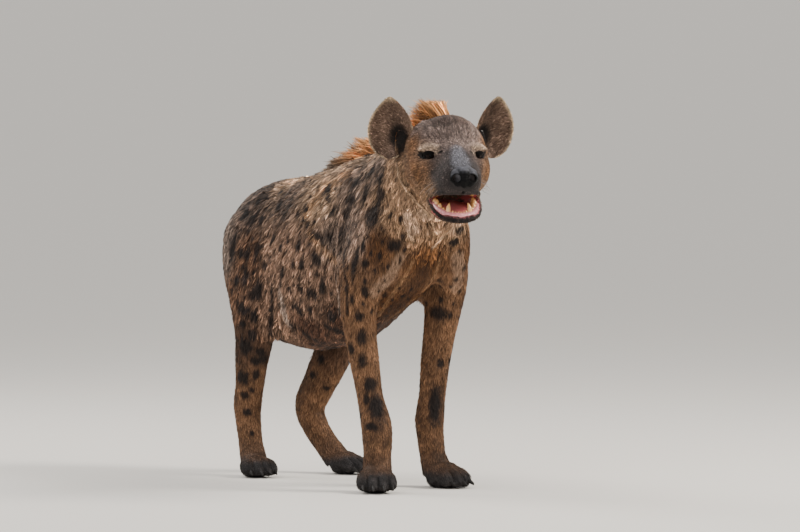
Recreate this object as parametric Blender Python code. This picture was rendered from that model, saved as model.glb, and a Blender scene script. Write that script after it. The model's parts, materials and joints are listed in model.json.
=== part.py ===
"""Spotted hyena, standing, life size, as a still museum model. Metres, +Z up.

The animal faces -Y, so its right side is at -X. The flesh is modelled whole, from lofted tubes
and muscles fused into one surface, and is then parted by thin cuts into head, jaw, neck, torso,
legs and tail. Ears, eyes, teeth, tongue and claws are pieces of their own.
"""

import math
import random

import bmesh
import bpy
import numpy as np
from mathutils import Matrix, Vector

# Driving sizes of the animal
SHOULDER_HEIGHT = 0.775
CROUP_HEIGHT = 0.692
FLOOR = 0.0
GAP = 0.0003

# Fineness of the faceted solids
VOXEL = 0.0036
HEAD_TRIANGLES = 1800
PAW_TRIANGLES = 960
BODY_TRIANGLES = 2000
PAW_TOP = 0.06
RING_SIDES = 20
LOFT_STEPS = 5

# The head's own frame: its origin lies midway between the eyes, and it turns to the right
EYE_LINE = Vector((-0.042, -0.561, 0.765))
HEAD_TURN = math.radians(18.5)
EYE_SPREAD = 0.0500
EYE_FORE = 0.0095
EYE_UP = -0.0045
EYE_RADIUS = 0.0138
LID_THICKNESS = 0.0024

COLOURS = {
    "coat": (0.34, 0.25, 0.17, 1.0),
    "mouth": (0.62, 0.28, 0.27, 1.0),
    "eye": (0.03, 0.02, 0.015, 1.0),
    "claw": (0.07, 0.06, 0.05, 1.0),
}


def clear_scene():
    """Removes every object, so that only the model is left."""
    for obj in list(bpy.data.objects):
        bpy.data.objects.remove(obj, do_unlink=True)


def material(name, roughness):
    """One plain finish, made once and shared."""
    made = bpy.data.materials.get(name)
    if made is None:
        made = bpy.data.materials.new(name)
        made.use_nodes = True
        shader = made.node_tree.nodes["Principled BSDF"]
        shader.inputs["Base Color"].default_value = COLOURS[name]
        shader.inputs["Roughness"].default_value = roughness
        shader.inputs["Metallic"].default_value = 0.0
    return made


def new_object(name, mesh):
    """Links a mesh into the scene under a name."""
    obj = bpy.data.objects.new(name, mesh)
    bpy.context.scene.collection.objects.link(obj)
    return obj


def object_from(name, bm):
    """Turns a bmesh into an object, with its faces pointing out."""
    bmesh.ops.recalc_face_normals(bm, faces=bm.faces)
    mesh = bpy.data.meshes.new(name)
    bm.to_mesh(mesh)
    bm.free()
    return new_object(name, mesh)


def evaluated_copy(obj, name):
    """Applies an object's modifiers into a new object and removes the old one."""
    graph = bpy.context.evaluated_depsgraph_get()
    mesh = bpy.data.meshes.new_from_object(obj.evaluated_get(graph))
    mesh.transform(obj.matrix_world)
    bpy.data.objects.remove(obj, do_unlink=True)
    made = new_object(name, mesh)
    bpy.context.view_layer.update()
    return made


def keep_largest(obj):
    """Keeps the largest closed surface of an object and drops any scrap."""
    bm = bmesh.new()
    bm.from_mesh(obj.data)
    left = set(bm.verts)
    islands = []
    while left:
        seed = left.pop()
        island = {seed}
        front = [seed]
        while front:
            vert = front.pop()
            for edge in vert.link_edges:
                other = edge.other_vert(vert)
                if other not in island:
                    island.add(other)
                    front.append(other)
        left -= island
        islands.append(island)
    if len(islands) > 1:
        spans = [box_volume(island) for island in islands]
        largest = islands[spans.index(max(spans))]
        scraps = [v for v in bm.verts if v not in largest]
        bmesh.ops.delete(bm, geom=scraps, context="VERTS")
        bm.to_mesh(obj.data)
    bm.free()


def box_volume(verts):
    """Volume of the box round a set of vertices."""
    points = np.array([v.co for v in verts])
    return float(np.prod(points.max(0) - points.min(0)))


def combine(target, tools, operation, solver="EXACT"):
    """One Boolean of the target with a collection of closed tools, which it uses up."""
    shelf = bpy.data.collections.new("tools")
    for tool in tools:
        shelf.objects.link(tool)
    boolean = target.modifiers.new(operation.lower(), "BOOLEAN")
    boolean.operation = operation
    boolean.operand_type = "COLLECTION"
    boolean.collection = shelf
    boolean.solver = solver
    name = target.name
    made = evaluated_copy(target, name)
    made.name = name
    for tool in tools:
        bpy.data.objects.remove(tool, do_unlink=True)
    bpy.data.collections.remove(shelf)
    keep_largest(made)
    return made


def copy_of(obj, name):
    """A separate copy of an object, with its own mesh."""
    return new_object(name, obj.data.copy())


def smooth_path(points, steps):
    """Points of a smooth curve (Catmull-Rom) through rows of numbers."""
    rows = np.array(points, float)
    first = 2 * rows[0] - rows[1]
    last = 2 * rows[-1] - rows[-2]
    padded = np.vstack([first, rows, last])
    curve = []
    for i in range(len(rows) - 1):
        p0, p1, p2, p3 = padded[i : i + 4]
        for step in range(steps):
            t = step / steps
            curve.append(
                0.5
                * (
                    2 * p1
                    + (p2 - p0) * t
                    + (2 * p0 - 5 * p1 + 4 * p2 - p3) * t * t
                    + (3 * p1 - p0 - 3 * p2 + p3) * t**3
                )
            )
    curve.append(rows[-1])
    return np.array(curve)


def skin_rings(name, rings):
    """A closed surface through rings of points, with both ends filled."""
    bm = bmesh.new()
    loops = [[bm.verts.new(point) for point in ring] for ring in rings]
    for lower, upper in zip(loops, loops[1:]):
        for i in range(len(lower)):
            j = (i + 1) % len(lower)
            bm.faces.new((lower[i], lower[j], upper[j], upper[i]))
    bm.faces.new(loops[0][::-1])
    bm.faces.new(loops[-1])
    return object_from(name, bm)


def barrel(name, stations, place, steps=LOFT_STEPS, sides=RING_SIDES):
    """A body lofted along one axis. place maps (side, along, up) to the world.

    A station is (along, top, middle, bottom, half width, squareness above, squareness below). The
    middle is the height at which the body is widest.
    """
    rings = []
    for along, top, middle, bottom, half, above, below in smooth_path(stations, steps):
        ring = []
        for i in range(sides):
            a = 2 * math.pi * i / sides
            c, s = math.cos(a), math.sin(a)
            square = above if s >= 0 else below
            side = half * math.copysign(abs(c) ** square, c)
            rise = abs(s) ** square
            up = middle + (top - middle) * rise if s >= 0 else middle - (middle - bottom) * rise
            ring.append(place(side, along, up))
        rings.append(ring)
    return skin_rings(name, rings)


def limb(name, stations, steps=LOFT_STEPS, sides=RING_SIDES, reference=(1, 0, 0)):
    """A bent tube. A station is (x, y, z, radius along the reference, radius across it)."""
    path = smooth_path(stations, steps)
    centres = path[:, :3]
    directions = np.gradient(centres, axis=0)
    rings = []
    for centre, direction, (first, second) in zip(centres, directions, path[:, 3:5]):
        along = Vector(direction).normalized()
        side = Vector(reference) - along * along.dot(Vector(reference))
        side.normalize()
        front = along.cross(side)
        ring = []
        for i in range(sides):
            a = 2 * math.pi * (i + 0.5) / sides
            ring.append(Vector(centre) + side * first * math.cos(a) + front * second * math.sin(a))
        rings.append(ring)
    return skin_rings(name, rings)


def muscle(centre, radii, turn=(0.0, 0.0, 0.0), place=None, rounds=3):
    """An ellipsoid, turned by degrees about X, Y and Z, placed in the world or in the head's frame."""
    bm = bmesh.new()
    bmesh.ops.create_icosphere(bm, subdivisions=rounds, radius=1.0)
    matrix = Matrix.Translation(centre)
    for angle, axis in zip(turn, "XYZ"):
        matrix = matrix @ Matrix.Rotation(math.radians(angle), 4, axis)
    bmesh.ops.transform(bm, matrix=matrix @ Matrix.Diagonal((*radii, 1.0)), verts=bm.verts)
    if place is not None:
        for vert in bm.verts:
            vert.co = place(vert.co.x, vert.co.y, vert.co.z)
    return object_from("muscle", bm)


def in_world(side, along, up):
    """The torso's own axes are the world's."""
    return Vector((side, along, up))


def in_head(side, fore, up):
    """A point given as (left, forward, up) from midway between the eyes, in the world."""
    left = Vector((math.cos(HEAD_TURN), -math.sin(HEAD_TURN), 0.0))
    ahead = Vector((-math.sin(HEAD_TURN), -math.cos(HEAD_TURN), 0.0))
    return EYE_LINE + left * side + ahead * fore + Vector((0.0, 0.0, up))


# Torso: stations along Y from the rump to the chest
TRUNK = [
    (0.447, 0.596, 0.550, 0.500, 0.036, 1.0, 1.0),
    (0.430, 0.634, 0.555, 0.455, 0.074, 1.0, 1.0),
    (0.386, 0.662, 0.555, 0.400, 0.102, 0.95, 0.95),
    (0.310, CROUP_HEIGHT - 0.006, 0.545, 0.332, 0.115, 0.92, 0.92),
    (0.235, CROUP_HEIGHT + 0.004, 0.525, 0.302, 0.118, 0.92, 0.92),
    (0.150, 0.702, 0.510, 0.295, 0.126, 0.92, 0.92),
    (0.060, 0.718, 0.510, 0.304, 0.133, 0.92, 0.92),
    (-0.030, 0.738, 0.525, 0.322, 0.130, 0.92, 0.92),
    (-0.110, SHOULDER_HEIGHT - 0.018, 0.550, 0.352, 0.121, 0.94, 0.94),
    (-0.190, SHOULDER_HEIGHT - 0.011, 0.580, 0.388, 0.110, 0.96, 0.96),
    (-0.270, SHOULDER_HEIGHT - 0.018, 0.600, 0.425, 0.102, 1.0, 1.0),
    (-0.335, 0.738, 0.615, 0.468, 0.090, 1.0, 1.0),
    (-0.378, 0.700, 0.620, 0.525, 0.066, 1.0, 1.0),
    (-0.395, 0.660, 0.622, 0.580, 0.030, 1.0, 1.0),
]

# Neck: it rises and turns a little to the right towards the head
NECK = [
    (0.000, -0.200, 0.610, 0.106, 0.148),
    (0.000, -0.275, 0.648, 0.108, 0.136),
    (0.000, -0.345, 0.686, 0.103, 0.124),
    (-0.004, -0.405, 0.720, 0.096, 0.113),
    (-0.016, -0.465, 0.745, 0.087, 0.102),
]

# Tail: it hangs close behind the rump
TAIL = [
    (0.000, 0.380, 0.630, 0.024, 0.024),
    (0.000, 0.430, 0.622, 0.022, 0.022),
    (0.000, 0.468, 0.590, 0.018, 0.018),
    (0.000, 0.481, 0.530, 0.016, 0.016),
    (0.000, 0.479, 0.450, 0.014, 0.014),
]
TAIL_CUT = 0.450
TUFT_CORE = [
    (0.000, 0.480, 0.470, 0.0130, 0.0130),
    (0.000, 0.478, 0.425, 0.0155, 0.0150),
    (-0.002, 0.475, 0.380, 0.0165, 0.0155),
    (-0.003, 0.470, 0.335, 0.0120, 0.0110),
    (-0.004, 0.467, 0.310, 0.0040, 0.0040),
]

# Tail tuft: locks in rings down the tail, as (height of the ring, distance out at the tips, length)
TUFT_RINGS = [
    (0.468, 0.026, 0.062),
    (0.441, 0.030, 0.066),
    (0.414, 0.032, 0.068),
    (0.387, 0.030, 0.068),
    (0.360, 0.024, 0.066),
    (0.334, 0.014, 0.060),
]
TUFT_LOCKS_A_RING = 4
TUFT_LOCK_WIDTH = 0.0190
TUFT_LOCK_THICKNESS = 0.0062

# Mane: the ridge of long hair from the back of the skull to the middle of the back. A station is
# (x, y, height of the skin, height of the tips above it, lean towards the tail in degrees)
MANE = [
    (-0.0160, -0.460, 0.845, 0.026, 2.0),
    (-0.0060, -0.430, 0.840, 0.043, 8.0),
    (-0.0020, -0.390, 0.830, 0.038, 28.0),
    (0.0000, -0.330, 0.808, 0.021, 50.0),
    (0.0000, -0.260, 0.784, 0.018, 58.0),
    (0.0000, -0.180, 0.764, 0.016, 62.0),
    (0.0000, -0.090, 0.753, 0.013, 67.0),
    (0.0000, 0.000, 0.731, 0.011, 71.0),
    (0.0000, 0.070, 0.716, 0.008, 73.0),
    (0.0000, 0.130, 0.704, 0.005, 75.0),
]
MANE_CORE_SHARE = 0.45
MANE_CORE_HALF_WIDTH = 0.0125
MANE_LOCKS = 56
MANE_ROW_OFFSET = 0.0100
MANE_SPLAY = math.radians(24.0)
MANE_LONGEST = 0.062
MANE_LOCK_WIDTH = 0.0210
MANE_LOCK_THICKNESS = 0.0066
ROOT_DEPTH = 0.0120
HAIR_SEED = 7

# Legs: stations from inside the torso down to the pastern
RIGHT_FORELEG = [
    (-0.072, -0.215, 0.640, 0.034, 0.070),
    (-0.094, -0.262, 0.560, 0.040, 0.072),
    (-0.104, -0.268, 0.485, 0.040, 0.064),
    (-0.108, -0.250, 0.420, 0.036, 0.052),
    (-0.106, -0.252, 0.360, 0.030, 0.042),
    (-0.101, -0.264, 0.290, 0.0265, 0.0345),
    (-0.096, -0.280, 0.212, 0.0240, 0.0295),
    (-0.091, -0.298, 0.155, 0.0300, 0.0320),
    (-0.091, -0.305, 0.118, 0.0300, 0.0300),
    (-0.093, -0.308, 0.075, 0.0275, 0.0275),
    (-0.095, -0.312, 0.035, 0.0300, 0.0310),
]
LEFT_FORELEG = [
    (0.074, -0.205, 0.640, 0.034, 0.070),
    (0.098, -0.250, 0.560, 0.040, 0.072),
    (0.112, -0.258, 0.485, 0.040, 0.064),
    (0.114, -0.243, 0.420, 0.036, 0.052),
    (0.108, -0.236, 0.360, 0.031, 0.042),
    (0.101, -0.229, 0.290, 0.0275, 0.0345),
    (0.095, -0.225, 0.212, 0.0250, 0.0300),
    (0.090, -0.221, 0.155, 0.0285, 0.0320),
    (0.091, -0.222, 0.118, 0.0265, 0.0290),
    (0.095, -0.226, 0.075, 0.0255, 0.0275),
    (0.101, -0.236, 0.035, 0.0300, 0.0310),
]
RIGHT_HINDLEG = [
    (-0.064, 0.330, 0.600, 0.036, 0.070),
    (-0.086, 0.305, 0.520, 0.044, 0.096),
    (-0.100, 0.278, 0.440, 0.046, 0.092),
    (-0.106, 0.256, 0.370, 0.041, 0.070),
    (-0.105, 0.262, 0.320, 0.036, 0.056),
    (-0.103, 0.278, 0.265, 0.031, 0.044),
    (-0.099, 0.297, 0.205, 0.0275, 0.0370),
    (-0.096, 0.312, 0.160, 0.0270, 0.0370),
    (-0.095, 0.308, 0.115, 0.0250, 0.0300),
    (-0.096, 0.294, 0.070, 0.0255, 0.0275),
    (-0.098, 0.276, 0.035, 0.0290, 0.0290),
]
LEFT_HINDLEG = [
    (0.064, 0.330, 0.600, 0.036, 0.070),
    (0.088, 0.302, 0.520, 0.044, 0.096),
    (0.108, 0.268, 0.440, 0.046, 0.092),
    (0.118, 0.242, 0.370, 0.041, 0.068),
    (0.110, 0.252, 0.315, 0.036, 0.056),
    (0.098, 0.276, 0.255, 0.032, 0.052),
    (0.084, 0.305, 0.200, 0.0290, 0.0450),
    (0.076, 0.328, 0.154, 0.0280, 0.0420),
    (0.085, 0.314, 0.108, 0.0260, 0.0330),
    (0.100, 0.291, 0.070, 0.0250, 0.0275),
    (0.116, 0.268, 0.035, 0.0285, 0.0290),
]

# Paws: pad centre on the floor, turn out from straight ahead in degrees, and size
PAWS = {
    "foreleg_right": ((-0.105, -0.322), -24.0, 1.05),
    "foreleg_left": ((0.104, -0.252), 20.0, 1.02),
    "hindleg_right": ((-0.106, 0.258), -6.0, 0.94),
    "hindleg_left": ((0.122, 0.246), 24.0, 0.94),
}
PALM_RADII = (0.037, 0.038, 0.030)
TOE_RADIUS = 0.0132
TOE_ROOT_FORE = 0.006
TOES = [(-0.031, 0.043), (-0.0112, 0.060), (0.0112, 0.060), (0.031, 0.043)]
CLAW_LENGTH = 0.019
CLAW_RADIUS = 0.0042


def paw_frame(name):
    """Maps (side, fore, up) from a paw's pad centre to the world."""
    (x, y), turn, size = PAWS[name]
    turn = math.radians(turn)
    ahead = Vector((math.sin(turn), -math.cos(turn), 0.0))
    left = Vector((math.cos(turn), math.sin(turn), 0.0))

    def place(side, fore, up):
        return Vector((x, y, FLOOR)) + (left * side + ahead * fore) * size + Vector((0, 0, up * size))

    return place


def toe(place, side, fore):
    """One toe: a short bent tube from the palm, over the knuckle, down to the tip."""
    spread = 1.0 + 0.10 * abs(side) / 0.031
    stations = []
    for share, up, width in ((0.0, 0.030, 1.0), (0.45, 0.029, 1.08), (0.8, 0.019, 1.05), (1.0, 0.0125, 0.72)):
        point = place(side * (0.80 + 0.20 * share * spread), TOE_ROOT_FORE + fore * share, up)
        stations.append((*point, TOE_RADIUS * width, TOE_RADIUS * width))
    return limb("toe", stations, steps=3)


def paw_pieces(name):
    """The palm and the four toes of one foot."""
    place = paw_frame(name)
    pieces = [muscle((0.0, 0.006, 0.026), PALM_RADII, place=place)]
    pieces += [toe(place, side, fore) for side, fore in TOES]
    return pieces


def claw(name, number):
    """A blunt claw, bent down from the end of a toe."""
    place = paw_frame(name)
    side, fore = TOES[number]
    start = TOE_ROOT_FORE + fore
    stations = []
    for along, up, radius in ((-0.2, 0.0165, 0.8), (0.25, 0.0160, 1.0), (0.7, 0.0125, 0.75), (1.0, 0.0085, 0.35)):
        point = place(side * 1.03, start + CLAW_LENGTH * along, up)
        stations.append((*point, CLAW_RADIUS * radius, CLAW_RADIUS * radius * 1.15))
    return limb(f"claw_{name}_{number + 1}", stations, steps=1, sides=6)


# Head: stations forward from midway between the eyes; heights from the eye line
SKULL = [
    (-0.180, 0.062, -0.020, -0.112, 0.070, 1.0, 1.0),
    (-0.145, 0.079, -0.018, -0.124, 0.084, 0.96, 0.96),
    (-0.105, 0.087, -0.016, -0.128, 0.092, 0.94, 0.94),
    (-0.065, 0.087, -0.020, -0.124, 0.093, 0.94, 0.94),
    (-0.030, 0.077, -0.026, -0.114, 0.086, 0.98, 0.92),
    (0.000, 0.057, -0.034, -0.106, 0.073, 1.10, 0.84),
    (0.030, 0.034, -0.042, -0.099, 0.060, 1.22, 0.74),
    (0.060, 0.013, -0.048, -0.093, 0.052, 1.16, 0.66),
    (0.086, -0.005, -0.052, -0.088, 0.048, 1.02, 0.62),
    (0.106, -0.018, -0.055, -0.084, 0.043, 0.92, 0.64),
    (0.118, -0.032, -0.057, -0.081, 0.033, 0.92, 0.80),
    (0.123, -0.046, -0.058, -0.070, 0.014, 1.0, 1.0),
]
LOWER_JAW = [
    (-0.090, -0.060, -0.095, -0.128, 0.064, 0.95, 0.95),
    (-0.040, -0.072, -0.108, -0.142, 0.060, 0.90, 0.95),
    (0.005, -0.088, -0.118, -0.149, 0.054, 0.76, 0.92),
    (0.040, -0.106, -0.128, -0.152, 0.049, 0.66, 0.90),
    (0.068, -0.119, -0.136, -0.152, 0.043, 0.62, 0.88),
    (0.088, -0.127, -0.139, -0.150, 0.035, 0.66, 0.90),
    (0.100, -0.133, -0.140, -0.147, 0.017, 1.0, 1.0),
]
MOUTH = [
    (-0.045, -0.096, -0.106, -0.114, 0.016, 1.0, 1.0),
    (-0.020, -0.080, -0.106, -0.126, 0.032, 0.8, 0.9),
    (0.020, -0.069, -0.106, -0.138, 0.041, 0.62, 0.8),
    (0.050, -0.067, -0.108, -0.141, 0.038, 0.58, 0.8),
    (0.076, -0.067, -0.110, -0.142, 0.033, 0.58, 0.8),
    (0.092, -0.068, -0.112, -0.141, 0.024, 0.66, 0.9),
    (0.098, -0.078, -0.112, -0.136, 0.010, 1.0, 1.0),
]
TONGUE = [
    (-0.038, -0.103, -0.107, -0.111, 0.010, 1.0, 1.0),
    (-0.020, -0.101, -0.110, -0.120, 0.022, 1.0, 1.0),
    (0.015, -0.104, -0.118, -0.134, 0.028, 0.9, 0.9),
    (0.045, -0.114, -0.125, -0.138, 0.027, 0.9, 0.9),
    (0.063, -0.123, -0.130, -0.139, 0.021, 0.9, 0.9),
    (0.071, -0.131, -0.134, -0.138, 0.010, 1.0, 1.0),
]
MOUTH_CORNER = (0.030, -0.098)
MOUTH_MIDDLE = (0.100, -0.104)
THROAT = (-0.100, -0.140)

# Gums: points (side, fore, up) of one half of each arch, from the middle of the front to the back
LOWER_ARCH = [
    (0.000, 0.084, -0.130),
    (0.016, 0.081, -0.129),
    (0.026, 0.072, -0.127),
    (0.034, 0.054, -0.121),
    (0.038, 0.030, -0.115),
    (0.036, 0.002, -0.109),
]
UPPER_ARCH = [
    (0.000, 0.090, -0.071),
    (0.016, 0.086, -0.071),
    (0.026, 0.076, -0.072),
    (0.033, 0.055, -0.074),
    (0.036, 0.030, -0.077),
    (0.034, 0.004, -0.083),
]
GUM_RADIUS = 0.0068

# Teeth of one side: (side, fore, root up, height, radius), heights up from the lower gum
LOWER_TEETH = [
    (0.0040, 0.085, -0.127, 0.0085, 0.0034),
    (0.0115, 0.084, -0.127, 0.0095, 0.0036),
    (0.0240, 0.077, -0.126, 0.0195, 0.0062),
    (0.0335, 0.057, -0.121, 0.0110, 0.0062),
    (0.0385, 0.038, -0.118, 0.0155, 0.0078),
    (0.0385, 0.017, -0.114, 0.0130, 0.0074),
]
UPPER_TEETH = [
    (0.0045, 0.090, -0.074, 0.0095, 0.0040),
    (0.0135, 0.087, -0.074, 0.0100, 0.0044),
    (0.0255, 0.078, -0.075, 0.0135, 0.0060),
    (0.0325, 0.056, -0.077, 0.0110, 0.0062),
    (0.0355, 0.034, -0.080, 0.0120, 0.0070),
    (0.0345, 0.012, -0.085, 0.0100, 0.0066),
]

# Eye opening, in the plane across the gaze
GAZE_OUT = math.radians(24.0)
OPENING_HALF_WIDTH = 0.0128
OPENING_UPPER = 0.0050
OPENING_LOWER = 0.0058

# Nostrils: a short bore each, from the front of the nose pad inwards
NOSTRIL = (0.0168, 0.1225, -0.0530)
NOSTRIL_RADII = (0.0064, 0.0110, 0.0052)

# Ear: a thin cup. Its rim lies in a plane that faces forward and outward
EAR_OUTWARD = math.radians(26.5)
EAR_LEAN = math.radians(16.0)
EAR_FOOT = (0.1190, -0.1330, -0.0140)
EAR_HEIGHT = 0.1440
EAR_TIP_OUT = 0.0060
EAR_HALF_WIDTH = 0.0540
EAR_CUP = 0.0360
EAR_THICKNESS = 0.0036
EAR_OUTLINE = [
    (0.0, 0.10),
    (0.03, 0.36),
    (0.08, 0.58),
    (0.22, 0.86),
    (0.42, 1.0),
    (0.58, 0.96),
    (0.74, 0.75),
    (0.86, 0.49),
    (0.94, 0.29),
    (0.985, 0.14),
    (1.0, 0.04),
]


def head_pieces():
    """Skull, lower jaw and the muscles and pads over them."""
    pieces = [
        barrel("skull", SKULL, in_head),
        barrel("lower jaw", LOWER_JAW, in_head),
        muscle((0.0, -0.085, 0.067), (0.030, 0.070, 0.020), place=in_head),
        muscle((0.0, 0.106, -0.045), (0.029, 0.021, 0.020), place=in_head),
    ]
    for side in (-1, 1):
        pieces += [
            muscle((side * 0.050, -0.060, -0.036), (0.046, 0.074, 0.056), place=in_head),
            muscle((side * 0.034, -0.074, 0.030), (0.041, 0.086, 0.043), place=in_head),
            muscle((side * 0.047, -0.014, 0.012), (0.027, 0.040, 0.018), place=in_head),
            muscle((side * 0.046, -0.004, -0.027), (0.030, 0.052, 0.027), place=in_head),
            muscle((side * 0.024, 0.074, -0.062), (0.026, 0.046, 0.024), place=in_head),
            muscle((side * 0.080, -0.146, 0.014), (0.023, 0.027, 0.046), (0, side * 14, 0), place=in_head),
        ]
    return pieces


def body_pieces():
    """Everything of flesh behind the head."""
    pieces = [
        barrel("trunk", TRUNK, in_world),
        limb("neck", NECK),
        limb("foreleg_right", RIGHT_FORELEG),
        limb("foreleg_left", LEFT_FORELEG),
        limb("hindleg_right", RIGHT_HINDLEG),
        limb("hindleg_left", LEFT_HINDLEG),
        muscle((-0.030, 0.285, 0.335), (0.014, 0.022, 0.020)),
    ]
    for side in (-1, 1):
        pieces += [
            muscle((side * 0.070, -0.170, 0.615), (0.040, 0.090, 0.125), (-18, 0, 0)),
            muscle((side * 0.084, -0.280, 0.570), (0.044, 0.078, 0.090)),
            muscle((side * 0.048, -0.350, 0.612), (0.054, 0.062, 0.086)),
            muscle((side * 0.086, -0.322, 0.555), (0.044, 0.066, 0.100)),
            muscle((side * 0.096, -0.210, 0.485), (0.036, 0.072, 0.070), (30, 0, 0)),
            muscle((side * 0.060, 0.382, 0.510), (0.055, 0.069, 0.112), (-12, 0, 0)),
            muscle((side * 0.084, 0.298, 0.502), (0.057, 0.122, 0.138), (10, 0, 0)),
            muscle((side * 0.060, 0.240, 0.620), (0.050, 0.080, 0.060)),
            muscle((side * 0.085, 0.205, 0.390), (0.026, 0.060, 0.070), (-20, 0, 0)),
        ]
    for name in PAWS:
        pieces += paw_pieces(name)
    return pieces


def lock(root, way, bend, flat, length, width, thickness):
    """One flat, tapered lock that bends on its way out; flat is the direction of its width."""
    stations = []
    for share, size in ((0.0, 0.80), (0.40, 1.0), (0.75, 0.66), (1.0, 0.14)):
        point = root + way * (length * share) + bend * (length * share * share)
        half = size / math.sqrt(2.0)
        stations.append((*point, width * half, thickness * half * (1.0 - 0.4 * share)))
    return limb("lock", stations, steps=1, sides=4, reference=flat)


def mane_core():
    """The low ridge from which the mane grows."""
    stations = []
    for x, y, skin, rise, _ in MANE:
        half = 0.5 * (rise * MANE_CORE_SHARE + 2 * ROOT_DEPTH)
        stations.append((x, y, skin + rise * MANE_CORE_SHARE - half, MANE_CORE_HALF_WIDTH, half))
    return limb("mane core", stations, steps=2, sides=8)


def mane_locks():
    """Locks in three rows along the ridge: upright at the nape, leaning back towards the tail."""
    draw = random.Random(HAIR_SEED)
    path = smooth_path(MANE, 12)
    runs = np.concatenate([[0.0], np.cumsum(np.linalg.norm(np.diff(path[:, :3], axis=0), axis=1))])
    locks = []
    for i in range(MANE_LOCKS):
        at = runs[-1] * (i + 0.5) / MANE_LOCKS
        x, y, skin, rise, lean = (np.interp(at, runs, path[:, k]) for k in range(5))
        row = (i % 3) - 1
        lean = math.radians(lean + draw.uniform(-7.0, 7.0))
        splay = row * MANE_SPLAY + draw.uniform(-0.08, 0.08)
        way = Vector((math.sin(splay), math.sin(lean), math.cos(lean) * math.cos(splay))).normalized()
        bend = Vector((row * 0.08, 0.20 + draw.uniform(-0.08, 0.08), -0.08))
        short = draw.uniform(0.86, 1.06) * (1.0 if row == 0 else 0.90)
        length = min(MANE_LONGEST, (rise * short + ROOT_DEPTH) / max(way.z + bend.z, 0.22))
        root = Vector((x + row * MANE_ROW_OFFSET, y, skin)) - way * ROOT_DEPTH
        width = MANE_LOCK_WIDTH * draw.uniform(0.85, 1.1) * min(1.0, 0.65 + rise / 0.08)
        twist = row * 0.5 + draw.uniform(-0.6, 0.6)
        flat = (math.sin(twist), math.cos(twist), 0.0)
        locks.append(lock(root, way, bend, flat, length, width, MANE_LOCK_THICKNESS))
    return locks


def tuft_locks():
    """Rings of locks down the end of the tail, each ring over the roots of the next."""
    draw = random.Random(HAIR_SEED + 1)
    core = np.array(TUFT_CORE)[::-1]
    locks = []
    for number, (height, out, length) in enumerate(TUFT_RINGS):
        centre = Vector([np.interp(height, core[:, 2], core[:, k]) for k in range(3)])
        for j in range(TUFT_LOCKS_A_RING):
            turn = 2 * math.pi * (j + 0.5 * (number % 2) + draw.uniform(-0.1, 0.1)) / TUFT_LOCKS_A_RING
            outward = Vector((math.cos(turn), math.sin(turn), 0.0))
            across = Vector((-math.sin(turn), math.cos(turn), 0.0))
            reach = length * draw.uniform(0.88, 1.08)
            way = Vector((0, 0, -1)) + outward * (1.7 * out / reach)
            bend = -outward * (0.7 * out / reach) + across * draw.uniform(-0.10, 0.10)
            width = TUFT_LOCK_WIDTH * draw.uniform(0.85, 1.1)
            root = centre + outward * 0.004
            locks.append(lock(root, way, bend, across, reach, width, TUFT_LOCK_THICKNESS))
    return locks


def join(pieces, name):
    """Puts several meshes into one object, still overlapping."""
    bm = bmesh.new()
    for piece in pieces:
        bm.from_mesh(piece.data)
        bpy.data.objects.remove(piece, do_unlink=True)
    mesh = bpy.data.meshes.new(name)
    bm.to_mesh(mesh)
    bm.free()
    return new_object(name, mesh)


def near_head(point):
    """1 on the head, down to 0 on the neck."""
    away = (point - in_head(0.0, -0.01, -0.03)).length
    return min(1.0, max(0.0, (0.215 - away) / 0.05))


def breadth(point):
    """How strongly the surface is smoothed: 1 on the trunk, less on the legs, 0 on head and paws."""
    if point.z < 0.30:
        level = 0.12 * min(1.0, max(0.0, (point.z - 0.05) / 0.06))
    else:
        level = 0.12 + 0.88 * min(1.0, (point.z - 0.30) / 0.14)
    return level * (1.0 - near_head(point))


def thinned(whole, chosen, wanted):
    """Thins the part of a surface whose vertices are chosen, to the wanted number of triangles."""
    mesh = whole.data
    inside = [v.index for v in mesh.vertices if chosen(v.co)]
    lookup = set(inside)
    corners = [len(p.vertices) - 2 for p in mesh.polygons]
    within = sum(n for n, p in zip(corners, mesh.polygons) if all(i in lookup for i in p.vertices))
    total = sum(corners)
    group = whole.vertex_groups.new(name=f"zone {wanted}")
    group.add(inside, 1.0, "REPLACE")
    thin = whole.modifiers.new("thin", "DECIMATE")
    thin.ratio = (total - within + wanted) / total
    thin.vertex_group = group.name
    thin.vertex_group_factor = 0.001
    return evaluated_copy(whole, "whole")


def fused(pieces):
    """Overlapping pieces as one smooth closed surface of few triangles."""
    whole = join(pieces, "whole")
    remesh = whole.modifiers.new("remesh", "REMESH")
    remesh.mode = "VOXEL"
    remesh.voxel_size = VOXEL
    whole = evaluated_copy(whole, "whole")
    broad = whole.vertex_groups.new(name="broad")
    head = whole.vertex_groups.new(name="head")
    for vert in whole.data.vertices:
        broad.add([vert.index], breadth(vert.co), "REPLACE")
        head.add([vert.index], near_head(vert.co), "REPLACE")
    for name, group, rounds in (("settle", "", 7), ("face", "head", 26), ("flow", "broad", 220)):
        smooth = whole.modifiers.new(name, "SMOOTH")
        smooth.factor = 0.5
        smooth.iterations = rounds
        smooth.vertex_group = group
    whole = evaluated_copy(whole, "whole")
    whole.vertex_groups.clear()
    whole = thinned(whole, lambda p: near_head(p) > 0.0, HEAD_TRIANGLES)
    whole = thinned(whole, lambda p: p.z < PAW_TOP, PAW_TRIANGLES)
    return thinned(whole, lambda p: near_head(p) == 0.0 and p.z >= PAW_TOP, BODY_TRIANGLES)


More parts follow.
